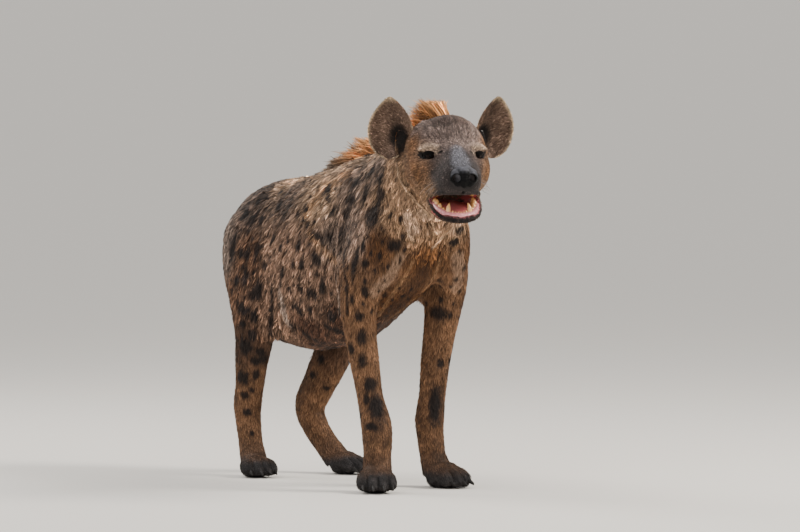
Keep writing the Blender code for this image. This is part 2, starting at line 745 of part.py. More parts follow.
def region(planes, size=3.0):
    """A convex block bounded by planes, each given as a point and its outward normal."""
    bm = bmesh.new()
    bmesh.ops.create_cube(bm, size=size)
    for point, normal in planes:
        cut = bmesh.ops.bisect_plane(
            bm,
            geom=bm.verts[:] + bm.edges[:] + bm.faces[:],
            plane_co=point,
            plane_no=normal,
            clear_outer=True,
        )
        edges = [e for e in cut["geom_cut"] if isinstance(e, bmesh.types.BMEdge)]
        bmesh.ops.holes_fill(bm, edges=edges)
    return object_from("region", bm)


def part_off(source, planes, name):
    """Splits what lies within the planes off the source as a new object, a thin gap away."""
    grown_planes = [(Vector(p) + Vector(n).normalized() * GAP, n) for p, n in planes]
    piece = combine(copy_of(source, name), [region(planes)], "INTERSECT")
    rest = combine(source, [region(grown_planes)], "DIFFERENCE")
    piece.name = name
    return piece, rest


def swollen(obj, margin=GAP):
    """A copy of an object whose surface stands out by a thin margin."""
    made = copy_of(obj, "swollen")
    made.modifiers.new("triangles", "TRIANGULATE")
    swell = made.modifiers.new("swell", "DISPLACE")
    swell.strength = margin
    swell.mid_level = 0.0
    return evaluated_copy(made, "swollen")


def trimmed(piece, mould):
    """Trims a piece so that it meets the flesh face to face, a thin gap away."""
    return combine(piece, [copy_of(mould, "mould")], "DIFFERENCE")


def head_direction(side, fore, up):
    """A direction given in the head's frame, in the world."""
    return in_head(side, fore, up) - in_head(0.0, 0.0, 0.0)


def eye_centre(side):
    """Centre of one eyeball, in the head's frame."""
    return Vector((side * EYE_SPREAD, EYE_FORE, EYE_UP))


def ball(centre, radius, name, rounds=2):
    """A faceted ball in the head's frame."""
    bm = bmesh.new()
    bmesh.ops.create_icosphere(bm, subdivisions=rounds, radius=radius)
    bmesh.ops.translate(bm, vec=in_head(*centre), verts=bm.verts)
    return object_from(name, bm)


def eye_opening(side):
    """A prism of almond outline, from the eyeball's centre out along the gaze."""
    gaze = Vector((side * math.sin(GAZE_OUT), math.cos(GAZE_OUT), 0.0))
    across = Vector((math.cos(GAZE_OUT), -side * math.sin(GAZE_OUT), 0.0))
    rings = []
    for depth, spread in ((0.35 * EYE_RADIUS, 0.95), (1.4 * EYE_RADIUS, 1.05)):
        ring = []
        for i in range(12):
            a = 2 * math.pi * i / 12
            height = OPENING_UPPER if math.sin(a) >= 0 else OPENING_LOWER
            up = height * math.copysign(abs(math.sin(a)) ** 1.25, math.sin(a))
            tilt = 0.10 * side * OPENING_HALF_WIDTH * math.cos(a)
            point = eye_centre(side) + gaze * depth
            point += across * OPENING_HALF_WIDTH * math.cos(a) * spread
            point.z += (up + tilt) * spread
            ring.append(in_head(*point))
        rings.append(ring)
    return skin_rings("opening", rings)


def carved_head(whole):
    """Cuts lids, nostrils and the mouth's hollow into the whole surface."""
    sides = (-1, 1)
    lids = [ball(eye_centre(s), EYE_RADIUS + GAP + LID_THICKNESS, "lid") for s in sides]
    whole = combine(whole, lids, "UNION")
    cutters = [barrel("hollow", MOUTH, in_head, steps=1, sides=14)]
    for s in sides:
        side, fore, up = NOSTRIL
        turn = (0, s * 28, s * 14)
        cutters.append(muscle((s * side, fore, up), NOSTRIL_RADII, turn, place=in_head, rounds=2))
        socket = ball(eye_centre(s), EYE_RADIUS + GAP, "socket")
        cutters.append(combine(socket, [eye_opening(s)], "UNION"))
    return combine(whole, cutters, "DIFFERENCE")


def ear(side, name):
    """A thin cup on a teardrop outline, with its foot sunk into the side of the head."""
    outward = Vector((side * math.sin(EAR_OUTWARD), math.cos(EAR_OUTWARD), 0.0))
    across = Vector((side * math.cos(EAR_OUTWARD), -math.sin(EAR_OUTWARD), 0.0))
    lean = Vector((0.0, math.sin(EAR_LEAN), math.cos(EAR_LEAN)))
    foot = Vector((side * EAR_FOOT[0], EAR_FOOT[1], EAR_FOOT[2]))
    heights = [h for h, _ in EAR_OUTLINE]
    widths = [w for _, w in EAR_OUTLINE]
    rows, columns = 10, 6

    def surface(u, share, back):
        v = 0.5 * (1.0 - math.cos(math.pi * share))
        width = EAR_HALF_WIDTH * np.interp(v, heights, widths)
        hollow = EAR_CUP * (1.0 - u * u) * (0.10 + 0.90 * math.sin(math.pi * min(1.0, 0.04 + 0.96 * v) ** 0.72))
        edge = 1.0 - 0.55 * max(abs(u), abs(2 * v - 1)) ** 3
        point = foot + lean * EAR_HEIGHT * v + across * (width * u + EAR_TIP_OUT * v * v)
        return in_head(*(point - outward * (hollow + back * EAR_THICKNESS * edge)))

    bm = bmesh.new()
    sheets = []
    for back in (0, 1):
        sheet = []
        for j in range(rows + 1):
            row = [surface(2 * i / columns - 1, j / rows, back) for i in range(columns + 1)]
            sheet.append([bm.verts.new(p) for p in row])
        sheets.append(sheet)
    for sheet in sheets:
        for j in range(rows):
            for i in range(columns):
                a, b, c, d = sheet[j][i], sheet[j][i + 1], sheet[j + 1][i + 1], sheet[j + 1][i]
                bm.faces.new((a, b, c))
                bm.faces.new((a, c, d))
    rims = []
    for sheet in sheets:
        rim = [sheet[0][i] for i in range(columns)]
        rim += [sheet[j][columns] for j in range(rows)]
        rim += [sheet[rows][i] for i in range(columns, 0, -1)]
        rim += [sheet[j][0] for j in range(rows, 0, -1)]
        rims.append(rim)
    for i in range(len(rims[0])):
        j = (i + 1) % len(rims[0])
        bm.faces.new((rims[0][i], rims[0][j], rims[1][j], rims[1][i]))
    return object_from(name, bm)


def gum(name, arch, teeth, rise):
    """A gum along one arch with its teeth, fused; rise is 1 for teeth that stand up, -1 for down."""
    half = [in_head(*p) for p in arch]
    other = [in_head(-p[0], p[1], p[2]) for p in arch[1:]]
    path = other[::-1] + half
    stations = [(*p, GUM_RADIUS, GUM_RADIUS * 0.85) for p in path]
    body = limb(name, stations, steps=1, sides=6, reference=(0, 0, 1))
    pieces = []
    for side, fore, up, height, radius in teeth:
        for s in (-1, 1):
            stations = []
            for share, width in ((-0.20, 0.9), (0.35, 1.0), (1.0, 0.16)):
                lean = 0.10 * height * share
                root = in_head(s * (side - lean * 0.5), fore - lean, up + rise * height * share)
                stations.append((*root, radius * width, radius * width))
            pieces.append(limb("tooth", stations, steps=1, sides=5))
    return combine(body, pieces, "UNION")


def cut_planes():
    """The flat cuts that part the whole into its nodes, as (point, outward normal)."""
    corner = in_head(0.0, *MOUTH_CORNER)
    back = Vector(THROAT) - Vector(MOUTH_CORNER)
    front = Vector(MOUTH_MIDDLE) - Vector(MOUTH_CORNER)
    planes = {
        "head": [
            (in_head(0.0, -0.140, 0.0), head_direction(0.0, -1.0, 0.0)),
            (in_head(0.0, 0.0, -0.250), Vector((0, 0, -1))),
        ],
        "jaw": [
            (corner, head_direction(0.0, back.y, -back.x)),
            (corner, head_direction(0.0, -front.y, front.x)),
        ],
        "neck": [(Vector((0.0, -0.20, 0.78)), Vector((0.0, 0.79, -0.61)))],
        "tail": [(Vector((0.0, TAIL_CUT, 0.0)), Vector((0, -1, 0)))],
    }
    for side, word in ((-1, "right"), (1, "left")):
        inner = (Vector((side * 0.045, 0.0, 0.0)), Vector((-side, 0, 0)))
        planes[f"foreleg_{word}"] = [
            inner,
            (Vector((0.0, -0.15, 0.0)), Vector((0, 1, 0))),
            (Vector((0.0, -0.30, 0.415)), Vector((0.0, 0.065, 0.15)).normalized()),
        ]
        planes[f"hindleg_{word}"] = [
            (Vector((side * 0.040, 0.0, 0.0)), Vector((-side, 0, 0))),
            (Vector((0.0, 0.16, 0.30)), Vector((0.0, -0.15, 0.05)).normalized()),
            (Vector((0.0, 0.19, 0.45)), Vector((0.0, -0.05, 0.26)).normalized()),
        ]
    return planes


def recentre():
    """Moves everything so that the middle of the model's foot print is the origin."""
    corners = [v.co for obj in bpy.data.objects for v in obj.data.vertices]
    low = Vector(min(c[i] for c in corners) for i in range(3))
    high = Vector(max(c[i] for c in corners) for i in range(3))
    shift = Vector((-(low.x + high.x) / 2, -(low.y + high.y) / 2, -low.z))
    for obj in bpy.data.objects:
        obj.data.transform(Matrix.Translation(shift))


def finish(obj, name, finish_name, roughness=0.9):
    """Names a node and gives it its material."""
    obj.name = name
    obj.data.name = name
    obj.data.materials.clear()
    obj.data.materials.append(material(finish_name, roughness))


def main():
    clear_scene()
    whole = fused(body_pieces() + head_pieces())
    tubes = [mane_core(), limb("tail", TAIL, steps=3, sides=10), limb("tuft", TUFT_CORE, steps=2, sides=8)]
    whole = combine(whole, tubes, "UNION")
    below = region([((0, 0, FLOOR), (0, 0, 1))])
    whole = combine(whole, [below], "DIFFERENCE")
    whole = carved_head(whole)

    nodes = {}
    mould = swollen(whole, 2 * GAP)
    nodes["gum_lower"] = trimmed(gum("gum_lower", LOWER_ARCH, LOWER_TEETH, 1), mould)
    nodes["gum_upper"] = trimmed(gum("gum_upper", UPPER_ARCH, UPPER_TEETH, -1), mould)
    nodes["tongue"] = trimmed(barrel("tongue", TONGUE, in_head, steps=2, sides=10), mould)
    for side, word in ((-1, "right"), (1, "left")):
        nodes[f"ear_{word}"] = trimmed(ear(side, "ear"), mould)
        nodes[f"eye_{word}"] = ball(eye_centre(side), EYE_RADIUS, "eye")
    bpy.data.objects.remove(mould, do_unlink=True)
    whole = combine(whole, mane_locks() + tuft_locks(), "UNION", "MANIFOLD")

    planes = cut_planes()
    head, whole = part_off(whole, planes["head"], "head")
    nodes["jaw"], nodes["head"] = part_off(head, planes["jaw"], "jaw")
    for name in ("neck", "foreleg_right", "foreleg_left", "hindleg_right", "hindleg_left", "tail"):
        nodes[name], whole = part_off(whole, planes[name], name)
    nodes["torso"] = whole
    for name in PAWS:
        mould = swollen(nodes[name])
        for number in range(len(TOES)):
            nodes[f"claw_{name}_{number + 1}"] = trimmed(claw(name, number), mould)
        bpy.data.objects.remove(mould, do_unlink=True)

    recentre()
    for name, obj in nodes.items():
        if name.startswith("claw"):
            finish(obj, name, "claw", 0.45)
        elif name.startswith("eye"):
            finish(obj, name, "eye", 0.08)
        elif name in ("gum_lower", "gum_upper", "tongue"):
            finish(obj, name, "mouth", 0.4)
        else:
            finish(obj, name, "coat")


main()
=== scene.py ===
"""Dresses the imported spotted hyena: one skin over the flesh, a coat of small tufts, mane, tail,
eyes, nose, mouth, ears and claws. Metres, +Z up; the animal faces -Y and its right side is at -X."""

import json
import math

import bmesh
import bpy
import numpy as np
from mathutils import Matrix, Vector
from mathutils.bvhtree import BVHTree
from mathutils.kdtree import KDTree

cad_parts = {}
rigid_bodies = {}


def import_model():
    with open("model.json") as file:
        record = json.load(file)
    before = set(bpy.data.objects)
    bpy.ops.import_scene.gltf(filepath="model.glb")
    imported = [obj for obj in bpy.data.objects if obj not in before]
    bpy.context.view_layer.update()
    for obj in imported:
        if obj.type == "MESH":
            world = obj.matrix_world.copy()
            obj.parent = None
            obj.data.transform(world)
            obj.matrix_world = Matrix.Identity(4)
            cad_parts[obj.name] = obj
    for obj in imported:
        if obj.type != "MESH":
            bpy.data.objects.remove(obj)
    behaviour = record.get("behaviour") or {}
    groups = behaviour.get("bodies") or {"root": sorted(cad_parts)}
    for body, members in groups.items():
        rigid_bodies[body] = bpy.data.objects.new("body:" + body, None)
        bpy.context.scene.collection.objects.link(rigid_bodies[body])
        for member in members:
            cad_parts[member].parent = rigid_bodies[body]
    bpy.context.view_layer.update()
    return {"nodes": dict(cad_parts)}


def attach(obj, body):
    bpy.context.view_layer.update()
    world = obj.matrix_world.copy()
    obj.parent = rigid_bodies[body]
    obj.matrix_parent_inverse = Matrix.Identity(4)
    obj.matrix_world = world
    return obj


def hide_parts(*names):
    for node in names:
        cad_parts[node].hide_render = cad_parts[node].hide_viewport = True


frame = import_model()

# Camera: the photograph's own view, from the animal's front right, level with its chest, through a
# long lens. The right fore foot and its pixel tie the picture to the frame.
PICTURE = (800, 532)
VIEW_TURN = math.radians(-29.0)
VIEW_RISE = math.radians(2.3)
CAMERA_AWAY = 16.0
PIXELS_PER_METRE = 445.0
FOOT = Vector((-0.1004, -0.2257, 0.0))
FOOT_PIXEL = (377, 492)
SENSOR = 36.0

view_back = Vector(
    (
        math.sin(VIEW_TURN) * math.cos(VIEW_RISE),
        -math.cos(VIEW_TURN) * math.cos(VIEW_RISE),
        math.sin(VIEW_RISE),
    )
)
view_right = Vector((math.cos(VIEW_TURN), math.sin(VIEW_TURN), 0.0))
view_up = view_back.cross(view_right)
foot_across = (FOOT_PIXEL[0] - PICTURE[0] / 2) / PIXELS_PER_METRE
foot_up = (PICTURE[1] / 2 - FOOT_PIXEL[1]) / PIXELS_PER_METRE
camera_place = FOOT - view_right * foot_across - view_up * foot_up + view_back * CAMERA_AWAY

camera_data = bpy.data.cameras.new("camera")
camera_data.sensor_width = SENSOR
camera_data.lens = PIXELS_PER_METRE * CAMERA_AWAY * SENSOR / PICTURE[0]
camera_data.clip_start = 0.5
camera_data.clip_end = 2000.0
camera = bpy.data.objects.new("camera", camera_data)
camera_axes = Matrix((view_right, view_up, view_back)).transposed()
camera.matrix_world = Matrix.LocRotScale(camera_place, camera_axes, None)
bpy.context.scene.collection.objects.link(camera)
bpy.context.scene.camera = camera


def sight_line(pixel):
    """The direction in which a pixel of the photograph looks."""
    across = (pixel[0] - PICTURE[0] / 2) / PIXELS_PER_METRE
    rise = (PICTURE[1] / 2 - pixel[1]) / PIXELS_PER_METRE
    return (view_right * across + view_up * rise - view_back * CAMERA_AWAY).normalized()


# Studio: a plain pale floor without end, a soft even sky and three soft lights.
def linear(red, green, blue):
    """A colour given as screen values, 0 to 255, as the linear numbers that a shader takes."""
    return tuple((c / 255 / 12.92) if c < 11 else ((c / 255 + 0.055) / 1.055) ** 2.4 for c in (red, green, blue))


FLOOR_COLOUR = linear(232, 227, 219)
SKY_COLOUR = linear(240, 239, 238)

bpy.ops.object.select_all(action="DESELECT")
bpy.ops.mesh.primitive_circle_add(vertices=96, radius=900.0, fill_type="NGON", location=(0, 0, 0))
floor = bpy.context.object
floor.name = "floor"
floor_finish = bpy.data.materials.new("floor")
floor_finish.use_nodes = True
floor_shader = floor_finish.node_tree.nodes["Principled BSDF"]
floor_shader.inputs["Base Color"].default_value = (*FLOOR_COLOUR, 1.0)
floor_shader.inputs["Roughness"].default_value = 0.9
floor.data.materials.append(floor_finish)

world = bpy.data.worlds.new("sky")
world.use_nodes = True
world.node_tree.nodes["Background"].inputs["Color"].default_value = (*SKY_COLOUR, 1.0)
world.node_tree.nodes["Background"].inputs["Strength"].default_value = 0.95
bpy.context.scene.world = world

LIGHTS = [
    ("key", (2.6, -2.3, 3.6), 1.6, 230.0, (1.0, 0.95, 0.88)),
    ("fill", (-2.9, -2.4, 1.8), 2.4, 34.0, (0.93, 0.96, 1.0)),
    ("rim", (-1.2, 2.8, 3.2), 2.0, 90.0, (1.0, 0.97, 0.93)),
]
for name, place, size, power, tint in LIGHTS:
    light_data = bpy.data.lights.new(name, "AREA")
    light_data.size = size
    light_data.energy = power
    light_data.color = tint
    light = bpy.data.objects.new(name, light_data)
    aim = Vector((0.0, -0.05, 0.45)) - Vector(place)
    light.matrix_world = Matrix.LocRotScale(Vector(place), aim.to_track_quat("-Z", "Y"), None)
    bpy.context.scene.collection.objects.link(light)


# Skin: one closed hide over head, neck, trunk, legs and tail, of bare skin under the coat. It is
# cast from the solids of the flesh: the crest and the tail's tuft are pressed flat, the seams close,
# the facets are smoothed out, and the whole is drawn in by the depth of the coat that covers it.
FLESH = (
    "torso",
    "neck",
    "head",
    "jaw",
    "tail",
    "foreleg_right",
    "foreleg_left",
    "hindleg_right",
    "hindleg_left",
)
EYE_LINE = Vector((-0.0474, -0.4767, 0.765))
HEAD_TURN = math.radians(18.5)
head_left = Vector((math.cos(HEAD_TURN), -math.sin(HEAD_TURN), 0.0))
head_ahead = Vector((-math.sin(HEAD_TURN), -math.cos(HEAD_TURN), 0.0))
head_up = Vector((0.0, 0.0, 1.0))
head_axes = np.array([head_left, head_ahead, head_up])


def in_head(side, fore, up):
    """A point given as (left, forward, up) from midway between the eyes, in the frame."""
    return EYE_LINE + head_left * side + head_ahead * fore + head_up * up


def from_head(points):
    """Points of the frame as (left, forward, up) from midway between the eyes."""
    return (points - np.array(EYE_LINE)) @ head_axes.T


SEAM_FILL = 0.0005
SKIN_VOXEL = 0.0024
HEAD_MIDDLE = Vector((-0.048, -0.470, 0.745))
HEAD_REACH = 0.165
BODY_SHARE = 0.30
SPINE = [
    (-0.450, -0.020, 0.853),
    (-0.400, -0.014, 0.851),
    (-0.340, -0.010, 0.843),
    (-0.280, -0.008, 0.820),
    (-0.200, -0.006, 0.791),
    (-0.140, -0.005, 0.770),
    (-0.060, -0.005, 0.758),
    (0.020, -0.005, 0.743),
    (0.100, -0.005, 0.724),
    (0.200, -0.005, 0.705),
    (0.280, -0.005, 0.695),
]
SPINE_HALF_WIDTH = 0.052
SPINE_ROUNDNESS = 0.090
DOCK = [
    (0.300, -0.009, 0.550, 0.004),
    (0.335, -0.008, 0.554, 0.009),
    (0.380, -0.007, 0.559, 0.012),
    (0.425, -0.005, 0.562, 0.013),
    (0.470, -0.005, 0.564, 0.012),
    (0.500, -0.005, 0.564, 0.014),
]


def copied(name, nodes):
    """One new piece from copies of CAD nodes, with their loose triangles merged."""
    bpy.ops.object.select_all(action="DESELECT")
    for node in nodes:
        frame["nodes"][node].select_set(True)
    bpy.context.view_layer.objects.active = frame["nodes"][nodes[0]]
    bpy.ops.object.duplicate()
    if len(nodes) > 1:
        bpy.ops.object.join()
    piece = bpy.context.object
    bpy.ops.object.parent_clear(type="CLEAR_KEEP_TRANSFORM")
    piece.name = name
    piece.data.name = name
    piece.data.materials.clear()
    bpy.ops.object.mode_set(mode="EDIT")
    bpy.ops.mesh.select_all(action="SELECT")
    bpy.ops.mesh.remove_doubles(threshold=0.00001)
    bpy.ops.object.mode_set(mode="OBJECT")
    return piece


def points_of(piece):
    """A mesh's vertices as rows of numbers."""
    points = np.empty(len(piece.data.vertices) * 3)
    piece.data.vertices.foreach_get("co", points)
    return points.reshape(-1, 3)


def set_points(piece, points):
    """Moves a mesh's vertices."""
    piece.data.vertices.foreach_set("co", points.ravel())
    piece.data.update()


def column(table, at, number):
    """One column of a table, read between its rows."""
    return np.interp(at, [row[0] for row in table], [row[number] for row in table])


def soft_step(low, high, values):
    """0 below low, 1 above high, and a smooth rise between."""
    share = np.clip((values - low) / (high - low), 0.0, 1.0)
    return share * share * (3 - 2 * share)


def press_locks(piece):
    """Presses the crest on to the spine and the tail's tuft on to its core."""
    points = points_of(piece)
    x, y, z = points.T
    off = x - column(SPINE, y, 1)
    lid = column(SPINE, y, 2) - off**2 / (2 * SPINE_ROUNDNESS)
    on_ridge = (np.abs(off) < SPINE_HALF_WIDTH) & (y > SPINE[0][0]) & (y < SPINE[-1][0]) & (z > lid)
    points[on_ridge, 2] = lid[on_ridge]
    on_dock = (y > 0.50) & (z < DOCK[-1][0])
    points[on_dock, 2] = np.maximum(z[on_dock], DOCK[0][0])
    height = points[on_dock, 2]
    centre = np.stack([column(DOCK, height, 1), column(DOCK, height, 2)], axis=1)
    arm = points[on_dock, :2] - centre
    length = np.linalg.norm(arm, axis=1)
    keep = np.minimum(1.0, column(DOCK, height, 3) / np.maximum(length, 1e-6))
    points[on_dock, :2] = centre + arm * keep[:, None]
    set_points(piece, points)


def modified(piece, kind, **settings):
    """Adds one modifier to a piece and applies it."""
    bpy.ops.object.select_all(action="DESELECT")
    bpy.context.view_layer.objects.active = piece
    piece.select_set(True)
    modifier = piece.modifiers.new(kind.lower(), kind)
    for key, value in settings.items():
        setattr(modifier, key, value)
    bpy.ops.object.modifier_apply(modifier=modifier.name)


def add_group(piece, name, weights):
    """A vertex group with a weight for every vertex that has one."""
    group = piece.vertex_groups.new(name=name)
    for number in np.nonzero(weights > 0.0)[0]:
        group.add([int(number)], float(weights[number]), "REPLACE")


UPPER_LIP = [
    (0.0555, 0.008, -0.0960, 0.0055),
    (0.0510, 0.035, -0.0890, 0.0060),
    (0.0460, 0.062, -0.0860, 0.0062),
    (0.0365, 0.085, -0.0840, 0.0062),
    (0.0210, 0.101, -0.0835, 0.0060),
    (0.0000, 0.106, -0.0835, 0.0056),
]
LOWER_LIP = [
    (0.0555, 0.006, -0.1010, 0.0060),
    (0.0545, 0.034, -0.1130, 0.0060),
    (0.0500, 0.056, -0.1250, 0.0062),
    (0.0420, 0.073, -0.1350, 0.0062),
    (0.0300, 0.086, -0.1410, 0.0062),
    (0.0160, 0.094, -0.1445, 0.0062),
    (0.0000, 0.097, -0.1460, 0.0062),
]
BROW = [
    (0.0290, 0.026, 0.0110, 0.0080),
    (0.0450, 0.024, 0.0150, 0.0085),
    (0.0600, 0.014, 0.0145, 0.0085),
    (0.0720, -0.002, 0.0080, 0.0080),
]
EAR_ROOT = [
    (0.0780, -0.154, 0.0180, 0.0185),
    (0.0710, -0.156, 0.0450, 0.0105),
]
MUZZLE_SIDE = [
    (0.0330, 0.040, -0.0520, 0.0200),
    (0.0330, 0.066, -0.0600, 0.0190),
    (0.0270, 0.088, -0.0640, 0.0190),
]
HOLLOW = [
    (-0.050, -0.098, -0.106, -0.113, 0.020),
    (-0.020, -0.091, -0.106, -0.121, 0.038),
    (0.010, -0.087, -0.106, -0.129, 0.0485),
    (0.040, -0.084, -0.108, -0.137, 0.0465),
    (0.066, -0.082, -0.111, -0.142, 0.0385),
    (0.086, -0.082, -0.114, -0.141, 0.0260),
    (0.096, -0.090, -0.115, -0.136, 0.0100),
]


def rolled(name, paths, mirror=True):
    """Rolls of clay on the head: chains of balls along paths of (side, fore, up, radius)."""
    bpy.ops.object.select_all(action="DESELECT")
    bpy.ops.mesh.primitive_ico_sphere_add(subdivisions=2, radius=0.001, location=in_head(*paths[0][0][:3]))
    piece = bpy.context.object
    piece.name = name
    bpy.ops.object.transform_apply(location=True, rotation=False, scale=False)
    bpy.ops.object.mode_set(mode="EDIT")
    for path in paths:
        for mirrored in (-1, 1) if mirror else (1,):
            for start, end in zip(path, path[1:]):
                steps = 1 + int(math.dist(start[:3], end[:3]) / (0.45 * start[3]))
                for step in range(steps + 1):
                    side, fore, up, radius = (a + (b - a) * step / steps for a, b in zip(start, end))
                    bpy.ops.mesh.primitive_ico_sphere_add(
                        subdivisions=2, radius=radius, location=in_head(mirrored * side, fore, up)
                    )
    bpy.ops.object.mode_set(mode="OBJECT")
    return piece


def lofted(name, stations, steps=4, sides=24):
    """A hollow's or tongue's body along the head: stations of (fore, top, middle, bottom, half width)."""
    rows = np.array(stations)
    at = np.linspace(0, len(rows) - 1, (len(rows) - 1) * steps + 1)
    rows = np.stack([np.interp(at, np.arange(len(rows)), rows[:, k]) for k in range(5)], axis=1)
    bm = bmesh.new()
    rings = []
    for fore, top, middle, bottom, half in rows:
        ring = []
        for k in range(sides):
            turn = 2 * math.pi * k / sides
            rise = abs(math.sin(turn)) ** 0.8
            up = middle + (top - middle) * rise if math.sin(turn) >= 0 else middle - (middle - bottom) * rise
            side = half * math.copysign(abs(math.cos(turn)) ** 0.8, math.cos(turn))
            ring.append(bm.verts.new(in_head(side, fore, up)))
        rings.append(ring)
    for low, high in zip(rings, rings[1:]):
        for k in range(sides):
            bm.faces.new((low[k], low[(k + 1) % sides], high[(k + 1) % sides], high[k]))
    bm.faces.new(rings[0][::-1])
    bm.faces.new(rings[-1])
    bmesh.ops.recalc_face_normals(bm, faces=bm.faces)
    mesh = bpy.data.meshes.new(name)
    bm.to_mesh(mesh)
    bm.free()
    piece = bpy.data.objects.new(name, mesh)
    bpy.context.scene.collection.objects.link(piece)
    return piece


def cut_by(piece, cutters):
    """Cuts closed shapes out of a piece, and uses them up."""
    for cutter in cutters:
        modified(piece, "BOOLEAN", operation="DIFFERENCE", solver="MANIFOLD", object=cutter)
        piece.data.materials.clear()
        bpy.data.objects.remove(cutter, do_unlink=True)


def joined(pieces, name):
    """Several pieces as one mesh, still overlapping."""
    bpy.ops.object.select_all(action="DESELECT")
    for piece in pieces:
        piece.select_set(True)
    bpy.context.view_layer.objects.active = pieces[0]
    bpy.ops.object.join()
    bpy.context.object.name = name
    bpy.context.object.data.name = name
    return bpy.context.object


TOE_CREASE = 0.0060
TOE_CREASE_HALF = 0.0030
TOE_LENGTH = 0.042


def crease_toes(piece):
    """Presses a crease between neighbouring toes, halfway between their claws."""
    points = points_of(piece)
    for leg in ("foreleg_right", "foreleg_left", "hindleg_right", "hindleg_left"):
        tips = []
        for number in (1, 2, 3, 4):
            corners = [Vector(corner) for corner in frame["nodes"][f"claw_{leg}_{number}"].bound_box]
            tips.append(sum(corners, Vector()) / 8)
        across = (tips[3] - tips[0]).normalized()
        forward = Vector((across.y, -across.x, 0.0)).normalized()
        if forward.dot(tips[1] + tips[2] - tips[0] - tips[3]) < 0:
            forward = -forward
        for first, second in zip(tips, tips[1:]):
            arm = points - np.array((first + second) / 2)
            along = arm @ np.array(forward)
            off = arm @ np.array((-forward.y, forward.x, 0.0))
            share = np.exp(-((off / TOE_CREASE_HALF) ** 2)) * (np.abs(along + 0.010) < 0.5 * TOE_LENGTH)
            share *= 1 - soft_step(0.030, 0.048, points[:, 2])
            points -= share[:, None] * TOE_CREASE * np.array((forward.x, forward.y, 0.6))
    set_points(piece, points)


skin = copied("skin", FLESH)
press_locks(skin)
modified(skin, "DISPLACE", strength=SEAM_FILL, mid_level=0.0)
clay = rolled("clay", [UPPER_LIP, LOWER_LIP, BROW, EAR_ROOT, MUZZLE_SIDE])
skin = joined([skin, clay], "skin")
modified(skin, "REMESH", mode="VOXEL", voxel_size=SKIN_VOXEL)
cut_by(skin, [lofted("hollow", HOLLOW)])
add_group(skin, "legs", soft_step(0.020, 0.075, points_of(skin)[:, 2]))
modified(skin, "SMOOTH", factor=0.5, iterations=2)
modified(skin, "SMOOTH", factor=0.5, iterations=7, vertex_group="legs")
crease_toes(skin)
away = np.linalg.norm(points_of(skin) - np.array(HEAD_MIDDLE), axis=1)
add_group(skin, "body", soft_step(HEAD_REACH, HEAD_REACH + 0.03, away))
trunk = soft_step(HEAD_REACH, HEAD_REACH + 0.06, away) * soft_step(0.10, 0.40, points_of(skin)[:, 2])
add_group(skin, "trunk", trunk)
modified(skin, "DECIMATE", ratio=BODY_SHARE, vertex_group="body", vertex_group_factor=0.001)
modified(skin, "SMOOTH", factor=0.5, iterations=25, vertex_group="trunk")
bpy.ops.object.shade_smooth()
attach(skin, "root")
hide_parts(*FLESH)

# The lie of the coat: how the hair grows from place to place. Each row is a spot on the animal with
# the way in which its hair lies, its length and depth in millimetres, its lift off the skin in
# degrees, its tufts on a square centimetre, their width in millimetres, and its colour. What lies
# between the rows is blended.
COAT_COLOURS = {
    "back": linear(162, 132, 105),
    "saddle": linear(84, 68, 58),
    "flank": linear(126, 98, 80),
    "rump": linear(118, 102, 91),
    "shoulder": linear(110, 91, 79),
    # the belly's own dark brown, darkened further by painted shade
    "belly dark and shaded": linear(68, 45, 33),
    # pale fold edge: the pale of the marks along the folds, painted light on the shoulder crease's lit edge
    "groin": linear(146, 127, 114),
    "neck": linear(143, 113, 87),
    "throat": linear(198, 166, 140),
    "bib": linear(150, 117, 88),
    "upper arm": linear(140, 114, 97),
    "chest": linear(102, 66, 37),
    "thigh": linear(92, 66, 49),
    "leg": linear(128, 93, 66),
    "shin": linear(127, 92, 65),
    "toe": linear(60, 56, 56),
    "tail": linear(110, 86, 66),
    "ginger": linear(166, 116, 76),
    "temple": linear(112, 86, 66),
    "forehead": linear(126, 108, 100),
    "crown": linear(94, 77, 69),
    "brow": linear(208, 180, 154),
    # painted sheen: a pale blue-grey highlight along the bridge of the nose
    "bridge": linear(142, 142, 151),
    "muzzle": linear(60, 53, 52),
    "cheek": linear(122, 86, 57),
    "jowl": linear(135, 104, 77),
    "chin": linear(42, 30, 25),
}
